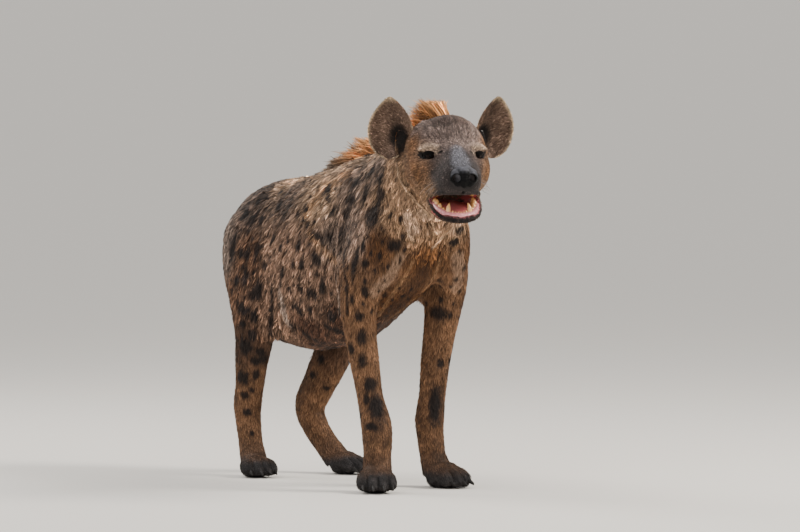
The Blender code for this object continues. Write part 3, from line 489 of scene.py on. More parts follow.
BODY_LIE = [
    (0.020, 0.470, 0.655, 0.25, 1.0, -0.45, 26, 5, 28, 10, 2.1, "saddle"),
    (0.020, 0.380, 0.684, 0.30, 1.0, -0.25, 29, 6.2, 30, 10, 2.2, "saddle"),
    (0.020, 0.250, 0.700, 0.35, 1.0, -0.20, 32, 6.8, 32, 10, 2.3, "back"),
    (0.020, 0.080, 0.728, 0.40, 1.0, -0.15, 34, 6.8, 32, 10, 2.3, "back"),
    (0.020, -0.060, 0.756, 0.40, 1.0, -0.10, 34, 6.8, 32, 10, 2.3, "back"),
    (0.025, -0.200, 0.790, 0.45, 0.9, -0.20, 32, 6.8, 32, 10, 2.3, "back"),
    (0.080, 0.470, 0.610, 0.15, 0.7, -0.80, 26, 5, 28, 10, 2.1, "rump"),
    (0.100, 0.330, 0.640, 0.10, 0.7, -0.80, 29, 5.6, 30, 10, 2.2, "saddle"),
    (0.100, 0.180, 0.660, 0.10, 0.8, -0.75, 34, 6.2, 32, 10, 2.3, "saddle"),
    (0.100, 0.020, 0.680, 0.10, 0.7, -0.85, 35, 6.8, 33, 10, 2.3, "back"),
    (0.088, -0.120, 0.700, 0.12, 0.6, -0.90, 34, 6.8, 32, 10, 2.3, "shoulder"),
    (0.085, -0.230, 0.740, 0.15, 0.5, -0.90, 30, 6.2, 31, 10, 2.2, "shoulder"),
    (0.118, 0.440, 0.520, 0.00, 0.3, -1.00, 22, 4.3, 26, 11, 2.0, "rump"),
    (0.128, 0.330, 0.520, 0.00, 0.3, -1.00, 26, 5, 28, 11, 2.1, "thigh"),
    (0.135, 0.180, 0.540, 0.00, 0.7, -0.90, 34, 6.2, 33, 10, 2.3, "flank"),
    (0.137, 0.060, 0.540, 0.00, 0.6, -0.95, 34, 6.2, 33, 10, 2.3, "flank"),
    (0.130, -0.060, 0.570, 0.00, 0.3, -1.00, 30, 5.6, 31, 10, 2.2, "shoulder"),
    (0.125, -0.160, 0.590, 0.00, 0.1, -1.00, 26, 5, 28, 11, 2.1, "shoulder"),
    (0.128, 0.200, 0.440, -0.10, 0.7, -0.85, 32, 5.6, 33, 10, 2.3, "flank"),
    (0.132, 0.060, 0.440, -0.10, 0.6, -0.85, 34, 6.2, 34, 10, 2.3, "flank"),
    (0.110, -0.050, 0.460, -0.10, 0.3, -0.95, 27, 5, 32, 10, 2.2, "flank"),
    (0.095, 0.240, 0.370, -0.30, 0.7, -0.70, 29, 5, 34, 10, 2.2, "flank"),
    (0.095, 0.100, 0.350, -0.35, 0.7, -0.60, 30, 5.6, 34, 10, 2.3, "belly dark and shaded"),
    (0.085, -0.030, 0.385, -0.35, 0.7, -0.60, 27, 5, 33, 10, 2.2, "belly dark and shaded"),
    (0.015, 0.280, 0.305, 0.00, 1.0, -0.25, 18, 3.1, 16, 10, 2.0, "belly dark and shaded"),
    (0.015, 0.120, 0.310, 0.00, 1.0, -0.25, 22, 3.7, 16, 10, 2.1, "belly dark and shaded"),
    (0.015, -0.040, 0.360, 0.00, 1.0, -0.35, 22, 3.7, 16, 10, 2.1, "belly dark and shaded"),
    (0.020, -0.160, 0.420, 0.00, 0.8, -0.70, 16, 3.1, 26, 15, 1.5, "chest"),
    (0.060, -0.300, 0.620, 0.20, -0.1, -1.00, 20, 4.3, 30, 15, 1.6, "bib"),
    (0.000, -0.310, 0.620, 0.10, -0.1, -1.00, 22, 4.3, 30, 15, 1.6, "bib"),
    (0.000, -0.280, 0.540, 0.00, 0.1, -1.00, 20, 4.3, 30, 15, 1.6, "chest"),
    (0.110, -0.260, 0.560, 0.10, 0.0, -1.00, 18, 3.7, 27, 16, 1.5, "chest"),
    (0.130, -0.205, 0.575, 0.05, 0.1, -1.00, 22, 4.3, 26, 12, 1.9, "upper arm"),
    (0.100, -0.280, 0.660, 0.20, 0.25, -1.00, 29, 5.6, 25, 14, 1.7, "neck"),
    (0.105, -0.330, 0.720, 0.20, 0.5, -0.95, 27, 5, 25, 15, 1.6, "neck"),
    (0.095, -0.290, 0.770, 0.20, 0.6, -0.80, 27, 5.6, 25, 15, 1.6, "neck"),
    (0.030, -0.330, 0.828, 0.40, 0.9, -0.20, 26, 5, 32, 11, 2.1, "ginger"),
    (0.020, -0.350, 0.660, 0.05, 0.1, -1.00, 22, 4.3, 28, 15, 1.6, "throat"),
    (0.135, -0.190, 0.480, 0.00, 0.1, -1.00, 18, -3, 28, 15, 1.5, "leg"),
    (0.138, -0.165, 0.400, 0.00, 0.1, -1.00, 18, -3, 24, 16, 1.4, "leg"),
    (0.070, -0.170, 0.400, 0.00, 0.1, -1.00, 16, -3, 24, 16, 1.4, "leg"),
    (0.130, -0.180, 0.300, 0.00, 0.0, -1.00, 14, -3, 23, 18, 1.3, "leg"),
    (0.070, -0.180, 0.300, 0.00, 0.0, -1.00, 14, -3, 23, 18, 1.3, "leg"),
    (0.120, -0.190, 0.200, 0.00, 0.0, -1.00, 12, -3, 22, 20, 1.2, "shin"),
    (0.075, -0.190, 0.200, 0.00, 0.0, -1.00, 12, -3, 22, 20, 1.2, "shin"),
    (0.100, -0.210, 0.100, 0.00, 0.0, -1.00, 10, -3, 22, 21, 1.1, "shin"),
    (0.105, -0.245, 0.050, 0.00, -0.7, -0.60, 8, -3, 23, 25, 1, "shin"),
    (0.110, -0.290, 0.020, 0.00, -1.0, -0.30, 5, 0.6, 20, 26, 1.0, "toe"),
    (0.145, 0.370, 0.430, 0.00, 0.2, -1.00, 21, 3.7, 26, 12, 1.9, "thigh"),
    (0.060, 0.360, 0.400, 0.00, 0.2, -1.00, 20, -1.5, 25, 14, 1.5, "thigh"),
    (0.110, 0.460, 0.430, 0.00, 0.3, -1.00, 21, 3.7, 28, 12, 1.9, "thigh"),
    (0.140, 0.330, 0.330, 0.00, 0.1, -1.00, 20, -1.5, 25, 15, 1.4, "thigh"),
    (0.075, 0.330, 0.330, 0.00, 0.1, -1.00, 16, -1.5, 24, 15, 1.4, "thigh"),
    (0.105, 0.400, 0.300, 0.00, 0.1, -1.00, 20, -1.5, 27, 15, 1.4, "thigh"),
    (0.120, 0.370, 0.210, 0.00, 0.0, -1.00, 13, -1.5, 23, 18, 1.2, "leg"),
    (0.080, 0.380, 0.210, 0.00, 0.0, -1.00, 13, -1.5, 23, 18, 1.2, "leg"),
    (0.100, 0.400, 0.150, 0.00, 0.0, -1.00, 11, -1.5, 23, 20, 1.2, "leg"),
    (0.100, 0.380, 0.080, 0.00, -0.2, -1.00, 9, -1.5, 22, 21, 1.1, "shin"),
    (0.110, 0.330, 0.045, 0.00, -0.8, -0.50, 8, -1.5, 23, 25, 1, "shin"),
    (0.115, 0.285, 0.020, 0.00, -1.0, -0.30, 5, 0.6, 20, 26, 1.0, "toe"),
    (0.060, 0.530, 0.560, 0.15, 0.4, -1.00, 21, 3.7, 26, 11, 2.0, "rump"),
    (0.050, 0.510, 0.460, 0.00, 0.2, -1.00, 19, 3.1, 26, 11, 1.9, "rump"),
    (0.010, 0.560, 0.600, 0.00, 0.5, -1.00, 19, 2.5, 24, 14, 1.8, "tail"),
    (0.010, 0.575, 0.520, 0.00, 0.1, -1.00, 21, 1.9, 24, 16, 1.8, "tail"),
    (0.010, 0.570, 0.430, 0.00, 0.0, -1.00, 24, 1.2, 26, 16, 1.8, "tail"),
]
HEAD_LIE = [
    (0.012, 0.105, -0.022, 0.15, -1.0, 0.30, 3, 0.5, 21, 62, 0.8, "muzzle"),
    (0.014, 0.070, 0.004, 0.15, -1.0, 0.40, 4, 0.8, 22, 59, 0.9, "muzzle"),
    (0.014, 0.035, 0.030, 0.15, -1.0, 0.50, 5, 1.0, 23, 54, 0.9, "forehead"),
    (0.010, 0.005, 0.055, 0.20, -0.9, 0.70, 11, 1.6, 20, 46, 1.0, "forehead"),
    (0.025, -0.030, 0.078, 0.30, -1.0, 0.30, 17, 2.4, 19, 38, 1.1, "crown"),
    (0.025, -0.075, 0.087, 0.25, -1.0, 0.05, 20, 3.4, 21, 32, 1.3, "crown"),
    (0.020, -0.115, 0.085, 0.20, -1.0, -0.10, 16, 3.8, 28, 28, 1.4, "temple"),
    (0.045, 0.018, 0.018, 0.60, -0.6, 0.60, 7, 1.2, 24, 54, 0.9, "forehead"),
    (0.066, 0.000, 0.016, 0.80, -0.8, 0.30, 8, 1.4, 24, 49, 1.0, "temple"),
    (0.050, -0.010, 0.045, 0.40, -0.9, 0.60, 13, 1.8, 21, 43, 1.0, "forehead"),
    (0.085, -0.040, 0.020, 0.50, -1.0, 0.15, 12, 2.6, 27, 35, 1.2, "cheek"),
    (0.070, -0.060, 0.065, 0.60, -0.9, 0.30, 16, 3.0, 23, 32, 1.2, "forehead"),
    (0.034, 0.030, -0.020, 0.50, -1.0, 0.10, 5, 1.0, 22, 57, 0.9, "muzzle"),
    (0.056, 0.015, -0.030, 0.70, -0.9, -0.20, 7, 1.2, 23, 51, 0.9, "cheek"),
    (0.075, -0.010, -0.040, 0.50, -1.0, -0.30, 10, 2.0, 26, 40, 1.1, "cheek"),
    (0.090, -0.050, -0.045, 0.35, -1.0, -0.40, 15, 3.4, 24, 32, 1.3, "cheek"),
    (0.094, -0.100, -0.060, 0.30, -0.8, -0.75, 24, 5.5, 27, 22, 1.7, "neck"),
    (0.098, -0.100, 0.020, 0.60, -0.6, 0.40, 11, 2.2, 22, 32, 1.2, "temple"),
    (0.094, -0.140, 0.050, 0.40, -0.9, -0.20, 11, 2.2, 22, 30, 1.3, "temple"),
    (0.065, -0.020, -0.090, 0.25, -0.9, -0.60, 11, 2.4, 25, 40, 1.1, "jowl"),
    (0.075, -0.075, -0.110, 0.20, -0.7, -0.80, 20, 4.8, 24, 24, 1.6, "jowl"),
    (0.044, 0.055, -0.050, 0.40, -1.0, -0.25, 5, 0.9, 22, 57, 0.9, "muzzle"),
    (0.048, 0.030, -0.075, 0.40, -0.9, -0.50, 6, 1.0, 23, 51, 0.9, "jowl"),
    (0.034, 0.090, -0.066, 0.50, -0.8, -0.55, 4, 0.6, 22, 59, 0.8, "muzzle"),
    (0.010, 0.116, -0.076, 0.20, -0.4, -0.90, 3, 0.5, 21, 62, 0.8, "muzzle"),
    (0.040, 0.060, -0.143, 0.20, -1.0, -0.30, 6, 1.0, 23, 49, 0.9, "chin"),
    (0.010, 0.097, -0.145, 0.10, -0.5, -0.80, 5, 0.8, 23, 51, 0.9, "chin"),
    (0.015, 0.050, -0.152, 0.05, -1.0, -0.10, 8, 1.6, 24, 40, 1.1, "jowl"),
    (0.020, -0.010, -0.148, 0.05, -1.0, -0.15, 14, 3.2, 26, 30, 1.4, "throat"),
    (0.020, -0.080, -0.140, 0.05, -0.8, -0.60, 24, 5.5, 24, 19, 1.8, "throat"),
    (0.055, 0.020, -0.128, 0.15, -0.9, -0.50, 8, 1.6, 24, 43, 1.0, "jowl"),
]
MIDLINE = -0.005


def lie_rows():
    """Both tables as arrays, with each row repeated on the other side: places, ways, values."""
    places, ways, values = [], [], []
    for mirror in (-1, 1):
        for side, along, height, *way, length, depth, lift, dense, width, colour in BODY_LIE:
            places.append((MIDLINE + mirror * side, along, height))
            ways.append((mirror * way[0], way[1], way[2]))
            values.append((length, depth, lift, dense, width, *COAT_COLOURS[colour]))
        for side, fore, up, *way, length, depth, lift, dense, width, colour in HEAD_LIE:
            places.append(in_head(mirror * side, fore, up))
            ways.append(np.array([mirror * way[0], way[1], way[2]]) @ head_axes)
            values.append((length, depth, lift, dense, width, *COAT_COLOURS[colour]))
    return np.array(places), np.array(ways), np.array(values)


lie_places, lie_ways, lie_values = lie_rows()
LIE_SOFTNESS = 0.014


def coat_at(points):
    """Way, length, depth, lift, density, width and colour of the coat at some points."""
    ways = np.empty((len(points), 3))
    values = np.empty((len(points), lie_values.shape[1]))
    for start in range(0, len(points), 20000):
        part = points[start : start + 20000]
        apart = ((part[:, None, :] - lie_places[None]) ** 2).sum(2) + LIE_SOFTNESS**2
        share = apart**-2.1
        share /= share.sum(1, keepdims=True)
        ways[start : start + 20000] = share @ lie_ways
        values[start : start + 20000] = share @ lie_values
    return ways, values


def normals_of(piece):
    """The smooth normals of a mesh's vertices."""
    normals = np.empty(len(piece.data.vertices) * 3)
    piece.data.vertices.foreach_get("normal", normals)
    return normals.reshape(-1, 3)


skin_ways, skin_values = coat_at(points_of(skin))
drawn_in = points_of(skin) - normals_of(skin) * skin_values[:, 1:2] * 0.001
drawn_in[:, 2] = np.maximum(drawn_in[:, 2], 0.0)
set_points(skin, drawn_in)
modified(skin, "SMOOTH", factor=0.5, iterations=4)

# Markings: dark spots drawn out along the hair, those of the side that shows placed where the
# photograph has them, the others strewn at the same spacing over the other side, back and rump.
SPOT_COLOUR = linear(32, 25, 23)
SPOTS_SEEN = [
    (243, 213, 14, 6),
    (251, 220, 18, 5),
    (260, 220, 13, 5),
    (279, 190, 8, 5),
    (278, 204, 10, 8),
    (283, 217, 7, 6),
    (232, 248, 23, 8),
    (256, 250, 20, 6),
    (246, 254, 14, 5),
    (240, 253, 12, 4),
    (244, 277, 17, 6),
    (236, 281, 13, 5),
    (225, 268, 14, 5),
    (256, 291, 22, 11),
    (230, 308, 12, 8),
    (242, 310, 10, 13),
    (254, 317, 12, 9),
    (241, 324, 6, 6),
    (252, 336, 11, 9),
    (245, 347, 19, 10),
    (260, 352, 9, 8),
    (265, 360, 8, 7),
    (255, 362, 10, 8),
    (242, 378, 14, 9),
    (256, 376, 11, 6),
    (252, 391, 6, 5),
    (244, 396, 9, 9),
    (247, 412, 8, 8),
    (252, 433, 5, 4),
    (272, 239, 13, 5),
    (279, 247, 11, 4),
    (286, 240, 8, 4),
    (297, 246, 13, 5),
    (304, 208, 8, 6),
    (296, 214, 9, 4),
    (315, 236, 9, 12),
    (329, 239, 8, 8),
    (314, 259, 12, 11),
    (291, 264, 8, 6),
    (300, 265, 13, 6),
    (264, 267, 9, 5),
    (269, 259, 10, 4),
    (281, 273, 11, 5),
    (320, 288, 18, 6),
    (310, 296, 12, 9),
    (299, 290, 8, 9),
    (288, 290, 8, 5),
    (298, 310, 11, 9),
    (309, 311, 9, 5),
    (331, 317, 13, 6),
    (311, 338, 8, 16),
    (334, 331, 8, 14),
    (291, 327, 10, 5),
    (326, 187, 15, 6),
    (326, 198, 8, 6),
    (331, 211, 12, 4),
    (353, 184, 15, 6),
    (369, 171, 14, 6),
    (379, 178, 14, 6),
    (351, 201, 17, 4),
    (363, 194, 16, 6),
    (379, 196, 18, 8),
    (371, 216, 21, 12),
    (343, 216, 10, 3),
    (340, 232, 14, 4),
    (354, 262, 31, 5),
    (362, 247, 16, 4),
    (364, 264, 8, 6),
    (365, 293, 11, 8),
    (351, 299, 10, 4),
    (359, 317, 9, 9),
    (361, 338, 14, 10),
    (350, 349, 11, 6),
    (362, 361, 13, 8),
    (370, 385, 13, 11),
    (366, 400, 10, 6),
    (377, 407, 22, 14),
    (370, 427, 8, 11),
    (394, 246, 11, 14),
    (437, 314, 13, 16),
    (435, 407, 34, 10),
    (441, 365, 10, 6),
    (456, 281, 6, 3),
    (460, 293, 5, 3),
    (454, 266, 3, 4),
    (461, 231, 8, 7),
    (454, 243, 8, 8),
    (327, 389, 5, 6),
    (312, 375, 8, 5),
    (320, 360, 10, 6),
]
SPOT_GROWTH = 1.18
COAT_HEIGHT = 0.60
MARK_DEPTH = 0.022
SPOTS_STREWN = 560
SPOT_SPACING = 0.034
SPOT_COVER = 0.95
TOE_TOP = 0.040
MARKS_SEEN = [
    ("eye rim", 0.97, [(417.5, 154.8, 1.4), (422.8, 155.6, 3.8), (428, 157.8, 5.8), (433.8, 156.8, 4.6), (441.5, 151.5, 1.6)]),
    ("brow", 0.35, [(419, 147.5, 3.5), (425, 145, 5.5), (432, 144, 5.5), (436, 146, 3.5)]),
    ("brow", 0.62, [(419, 149.2, 1.6), (424, 147.4, 2.4), (431, 146.8, 2.6), (435.5, 148, 1.8)]),
    # Painted highlight: a soft blue-grey sheen down the bridge of the nose.
    ("bridge", 0.26, [(456, 148, 6.0), (459.0, 158, 9.5), (461.5, 168, 9.0)]),
    ("bridge", 0.20, [(457, 151, 3.5), (459.0, 159, 6.0), (461.0, 167, 6.0)]),
    ("dark smear", 0.26, [(421, 123, 2.2), (431, 118.5, 2.6), (443, 116.8, 2.6), (455, 118, 2.6), (465, 122.5, 2.2)]),
    ("dark smear", 0.45, [(433, 120, 2.4), (436, 128, 1.7), (438.5, 138, 1.0)]),
    ("dark smear", 0.45, [(444, 118, 2.4), (446, 128, 1.8), (448, 140, 1.0)]),
    ("dark smear", 0.40, [(454, 119, 2.2), (456, 128, 1.5), (457, 136, 0.9)]),
    ("dark smear", 0.35, [(424, 124, 2.2), (427, 132, 1.5), (430, 139, 0.9)]),
    # Painted shade: the shade of the ear's hollow, painted dark on the lobe at the ear's root.
    ("hollow", 0.97, [(400, 126, 6.5), (399.5, 137, 10.0), (398.5, 148, 7.5)]),
    ("muzzle", 0.40, [(441, 164, 5.0), (438, 174, 7.5), (438, 186, 7.5)]),
    ("muzzle", 0.50, [(442, 163, 2.0), (440, 173, 3.5), (440, 183, 4.5), (442, 190, 4.5)]),
    ("temple", 0.60, [(405, 160, 7), (408, 172, 6), (414, 183, 5)]),
    ("throat", 0.65, [(407, 218, 6), (414, 230, 7)]),
    ("throat", 0.35, [(458, 258, 7), (457, 290, 6)]),
    # Painted shade on the inner chest between the forelegs, and painted light along the lit edge of the fold above it.
    ("chest shade", 0.72, [(423, 270, 4.0), (412, 290, 8.0), (399, 306, 8.0), (386, 322, 6.0)]),
    ("chest light", 0.55, [(413.5, 262, 1.6), (403, 280, 2.0), (390, 298, 2.0), (378, 318, 1.6)]),
    ("dark smear", 0.55, [(376, 398, 6.0), (380, 412, 8.5), (377, 426, 7.5)]),
    ("dark smear", 0.35, [(435, 392, 5.0), (437, 410, 6.0), (432, 426, 4.0)]),
    ("gold", 0.45, [(345, 173, 7), (322, 188, 8), (306, 212, 8)]),
    ("gold", 0.35, [(309, 232, 5), (318, 250, 5), (335, 262, 4)]),
    # Painted shade in the crease between shoulder and foreleg.
    (
        "dark fold",
        0.85,
        [(349, 195, 1.6), (346.3, 215, 2.2), (342.5, 240, 2.4), (343.8, 265, 2.4), (346.3, 285, 2.6), (346.3, 315, 2.4)],
    ),
    # Painted light on the lit edge of the crease between shoulder and foreleg.
    ("groin", 0.65, [(338.5, 280, 2.2), (339.5, 300, 2.6), (340, 316, 2.2)]),
    ("groin", 0.40, [(348.5, 222, 1.8), (348, 245, 2.0), (348.5, 262, 1.6)]),
    # A pale band along the edge of the loose skin before the hind leg, beside its crease.
    ("groin", 0.85, [(278, 290, 3.5), (282, 307, 6.0), (287, 325, 5.5)]),
    # Painted shade in the crease under the loose skin before the hind leg.
    ("dark fold", 0.95, [(271, 286, 2.4), (271, 312, 3.4), (273, 336, 3.4)]),
]
MARK_COLOURS = {
    "eye rim": linear(22, 17, 16),
    "chest shade": linear(78, 51, 32),
    # painted chest light: painted light on the lit edge of the chest's fold
    "chest light": linear(168, 128, 92),
    "gold": linear(184, 138, 96),
    "dark smear": linear(52, 38, 32),
    # painted crease shade: the shade that falls in the skin's creases
    "dark fold": linear(30, 22, 19),
    "lip": linear(28, 20, 19),
    # hollow: painted shade of the ear's hollow
    "hollow": linear(20, 15, 13),
    "inner lip": linear(196, 118, 122),
    "palate": linear(196, 100, 100),
}

skin_tree = BVHTree.FromPolygons([v.co for v in skin.data.vertices], [p.vertices for p in skin.data.polygons])


def laid_on(ways, normals):
    """Ways turned into the surface, of length 1."""
    laid = ways - normals * (ways * normals).sum(1, keepdims=True)
    return laid / np.maximum(np.linalg.norm(laid, axis=1, keepdims=True), 1e-6)


def mirrored(place):
    """The like place on the animal's other side, on its skin."""
    if (place - HEAD_MIDDLE).length < HEAD_REACH:
        side, fore, up = from_head(np.array([place]))[0]
        other = in_head(-side, fore, up)
    else:
        other = Vector((2 * MIDLINE - place.x, place.y, place.z))
    return skin_tree.find_nearest(other)[0]


def seen_place(pixel):
    """Where the hair that covers a pixel of the photograph is rooted: skin, normal, how squarely it faces."""
    sight = Vector(sight_line(tuple(pixel)))
    place, normal, _, _ = skin_tree.ray_cast(camera_place, sight)
    if place is None:
        return None
    _, values = coat_at(np.array([place]))
    height = COAT_HEIGHT * 0.001 * values[0, 0] * math.sin(math.radians(values[0, 2]))
    square = max(-sight.dot(normal) / sight.length, 0.3)
    place, normal, _, _ = skin_tree.find_nearest(place - sight.normalized() * (height / square))
    return place, normal, square


def spot_rows():
    """Every spot as (centre, way along the hair, normal, half length, half width)."""
    draw = np.random.default_rng(11)
    centres, normals, halves = [], [], []
    for across, down, length, width in SPOTS_SEEN:
        found = seen_place((across, down))
        if found is not None:
            place, normal, square = found
            centres.append(place)
            normals.append(normal)
            scale = 0.5 * SPOT_GROWTH / PIXELS_PER_METRE
            halves.append((length * scale, width * scale / max(square, 0.55)))
    points = points_of(skin)
    facing = normals_of(skin)
    near_head = np.linalg.norm(points - np.array(HEAD_MIDDLE), axis=1) < 0.20
    shown = facing @ np.array(view_back) > 0.12
    throat = (points[:, 1] < -0.24) & (np.abs(points[:, 0]) < 0.07)
    low = points[:, 2] < 0.16
    strewn = 0
    for number in draw.permutation(len(points))[:60000]:
        if strewn == SPOTS_STREWN:
            break
        if near_head[number] or throat[number] or low[number] or (shown[number] and points[number, 2] < 0.38):
            continue
        place = Vector(points[number])
        spacing = SPOT_SPACING * (1.0 if place.z > 0.35 else 0.8) * (0.72 if shown[number] else 1.0)
        if min((place - c).length for c in centres) > spacing:
            size = draw.uniform(0.7, 1.2) * (0.45 if shown[number] else 0.85)
            centres.append(place)
            normals.append(Vector(facing[number]))
            halves.append((0.0175 * size, 0.0105 * size * draw.uniform(0.8, 1.3)))
            strewn += 1
    centres, normals = np.array(centres), np.array(normals)
    ways, _ = coat_at(centres)
    return centres, laid_on(ways, normals), normals, np.array(halves)


def mark_paths():
    """Every mark as (colour, cover, path of places on the skin, normals, radii), on both sides."""
    marks = []
    for word, cover, path in MARKS_SEEN:
        kept = [(*found, row[2] / PIXELS_PER_METRE) for row in path if (found := seen_place(row[:2]))]
        colour = MARK_COLOURS.get(word) or COAT_COLOURS[word]
        radii = np.array([radius for *_, radius in kept])
        for other in (False, True):
            places = [mirrored(place) if other else place for place, *_ in kept]
            normals = [skin_tree.find_nearest(place)[1] for place in places]
            marks.append((colour, cover, np.array(places), np.array(normals), radii))
    for path in (UPPER_LIP, LOWER_LIP):
        for mirror in (-1, 1):
            places = np.array([in_head(mirror * side, fore, up) for side, fore, up, _ in path])
            radii = np.array([radius - 0.0005 for *_, radius in path])
            cover = 0.95 if path is LOWER_LIP else 0.35
            marks.append((MARK_COLOURS["lip"], cover, places, np.zeros_like(places), radii))
            if path is LOWER_LIP:
                inner = [in_head(mirror * side * 0.93, fore - 0.003, up + 0.0055) for side, fore, up, _ in path]
                marks.append((MARK_COLOURS["inner lip"], 0.9, np.array(inner), np.zeros_like(places), radii))
    return marks


spot_centres, spot_ways, spot_normals, spot_halves = spot_rows()
marks = mark_paths()
LATTICE = np.random.default_rng(5).random((32, 32, 32))


def mottle(points, size):
    """A smooth pattern of patches of about a given size, from 0 to 1."""
    place = points / size + 100.0
    cell = np.floor(place).astype(int)
    share = place - cell
    share = share * share * (3 - 2 * share)
    total = np.zeros(len(points))
    for corner in np.ndindex(2, 2, 2):
        weight = np.prod(np.where(corner, share, 1.0 - share), axis=1)
        index = (cell + corner) % 32
        total += weight * LATTICE[index[:, 0], index[:, 1], index[:, 2]]
    return total


def spot_share(points):
    """How dark the markings make the coat at some points, from 0 to 1."""
    ragged = 0.55 * (mottle(points, 0.006) - 0.5) + 0.35 * (mottle(points, 0.016) - 0.5)
    darkest = np.zeros(len(points))
    for centre, way, normal, (half_length, half_width) in zip(spot_centres, spot_ways, spot_normals, spot_halves):
        apart = points - centre
        near = np.nonzero((apart**2).sum(1) < (1.5 * max(half_length, half_width)) ** 2 + MARK_DEPTH**2)[0]
        if len(near) == 0:
            continue
        above = apart[near] @ normal
        along = apart[near] @ way
        across = np.sqrt(np.maximum((apart[near] ** 2).sum(1) - along**2 - above**2, 0.0))
        across[np.abs(above) > MARK_DEPTH] = 9.0
        reach = np.sqrt((along / half_length) ** 2 + (across / half_width) ** 2)
        share = 1.0 - soft_step(0.62, 1.30, reach + ragged[near])
        darkest[near] = np.maximum(darkest[near], share)
    return darkest


def ground_colours(points, colours):
    """The coat's colours with the mottle of the ground."""
    ground = 0.56 + 0.88 * mottle(points, 0.011) + 0.60 * (mottle(points, 0.045) - 0.5)
    sooty = 1 - 0.6 * soft_step(TOE_TOP - 0.014, TOE_TOP + 0.010, points[:, 2])[:, None]
    sooty -= 0.4 * soft_step(TOE_TOP, TOE_TOP + 0.060, points[:, 2])[:, None]
    return (colours * (1 - sooty) + np.array(COAT_COLOURS["toe"]) * sooty) * ground[:, None]


def marked(points, colours):
    """The ground's colours with the marks and the spots laid over them."""
    shown = colours.copy()
    ragged = 0.5 * (mottle(points, 0.004) - 0.5)
    for colour, cover, path, normals, radii in marks:
        reach = radii.max() * 1.4 + MARK_DEPTH
        near = np.nonzero(((points > path.min(0) - reach) & (points < path.max(0) + reach)).all(1))[0]
        nearest = np.full(len(near), 9.0)
        for start, end, normal, first, last in zip(path, path[1:], normals, radii, radii[1:]):
            along = ((points[near] - start) @ (end - start) / max(((end - start) ** 2).sum(), 1e-9)).clip(0, 1)
            apart = points[near] - start - along[:, None] * (end - start)
            above = (apart @ normal)[:, None]
            apart = np.linalg.norm(apart - above * normal, axis=1) + 9.0 * (np.abs(above[:, 0]) > MARK_DEPTH)
            nearest = np.minimum(nearest, apart / (first + (last - first) * along))
        share = ((1 - soft_step(0.7, 1.25, nearest + ragged[near])) * cover)[:, None]
        shown[near] = shown[near] * (1 - share) + np.array(colour) * share
    share = spot_share(points)[:, None] * SPOT_COVER
    return shown * (1 - share) + np.array(SPOT_COLOUR) * share


def in_hollow(local, margin=0.0015):
    """Which points of the head lie in the open mouth."""
    inside = (local[:, 1] > HOLLOW[0][0]) & (local[:, 1] < HOLLOW[-1][0])
    inside &= np.abs(local[:, 0]) < column(HOLLOW, local[:, 1], 4) + margin
    inside &= local[:, 2] < column(HOLLOW, local[:, 1], 1) + margin
    return inside & (local[:, 2] > column(HOLLOW, local[:, 1], 3) - margin)


def colour_points(piece, colours):
    """Gives a mesh's vertices the colours that its material reads."""
    layer = piece.data.color_attributes.new(name="coat", type="FLOAT_COLOR", domain="POINT")
    layer.data.foreach_set("color", np.c_[colours, np.ones(len(colours))].ravel())


class Value:
    """One number of a shader, as an output socket; sums of it add their own nodes."""

    def __init__(self, finish, socket):
        self.finish = finish
        self.socket = socket

    def joined(self, operation, first, second):
        return self.finish.node("ShaderNodeMath", {"operation": operation}, {0: first, 1: second})

    def __add__(self, other):
        return self.joined("ADD", self, other)

    __radd__ = __add__

    def __sub__(self, other):
        return self.joined("SUBTRACT", self, other)

    def __rsub__(self, other):
        return self.joined("SUBTRACT", other, self)

    def __mul__(self, other):
        return self.joined("MULTIPLY", self, other)

    __rmul__ = __mul__


class Finish:
    """One material: a Principled shader and the nodes that feed it."""

    def __init__(self, name, **settings):
        self.material = bpy.data.materials.new(name)
        self.material.use_nodes = True
        self.tree = self.material.node_tree
        self.shader = self.tree.nodes["Principled BSDF"]
        self.set(**settings)

    def set(self, **settings):
        """Puts numbers, colours or links on the shader's sockets."""
        for key, value in settings.items():
            self.put(self.shader.inputs[key.replace("_", " ").title().replace("Ior", "IOR")], value)

    def put(self, socket, value):
        if isinstance(value, Value):
            self.tree.links.new(value.socket, socket)
        elif isinstance(value, tuple) and len(value) == 3 and socket.type == "RGBA":
            socket.default_value = (*value, 1.0)
        else:
            socket.default_value = value

    def node(self, kind, settings, inputs, output=0):
        """Adds a node, sets it, fills its sockets and gives back one output."""
        node = self.tree.nodes.new(kind)
        for key, value in settings.items():
            setattr(node, key, value)
        for key, value in inputs.items():
            self.put(node.inputs[key], value)
        return Value(self, node.outputs[output])

    def place(self):
        """Object coordinates."""
        return self.node("ShaderNodeTexCoord", {}, {}, "Object")

    def noise(self, scale, detail=3.0, vector=None):
        """Fine patches, from 0 to 1."""
        inputs = {"Vector": vector or self.place(), "Scale": scale, "Detail": detail}
        return self.node("ShaderNodeTexNoise", {}, inputs, "Fac")

    def mixed(self, share, first, second, kind="MIX"):
        """Two colours mixed, or multiplied, by a share."""
        settings = {"data_type": "RGBA", "blend_type": kind}
        return self.node("ShaderNodeMix", settings, {0: share, 6: first, 7: second}, 2)

    def bumped(self, height, distance, strength=1.0):
        """A normal tilted by a height."""
        inputs = {"Height": height, "Distance": distance, "Strength": strength}
        return self.node("ShaderNodeBump", {}, inputs, "Normal")


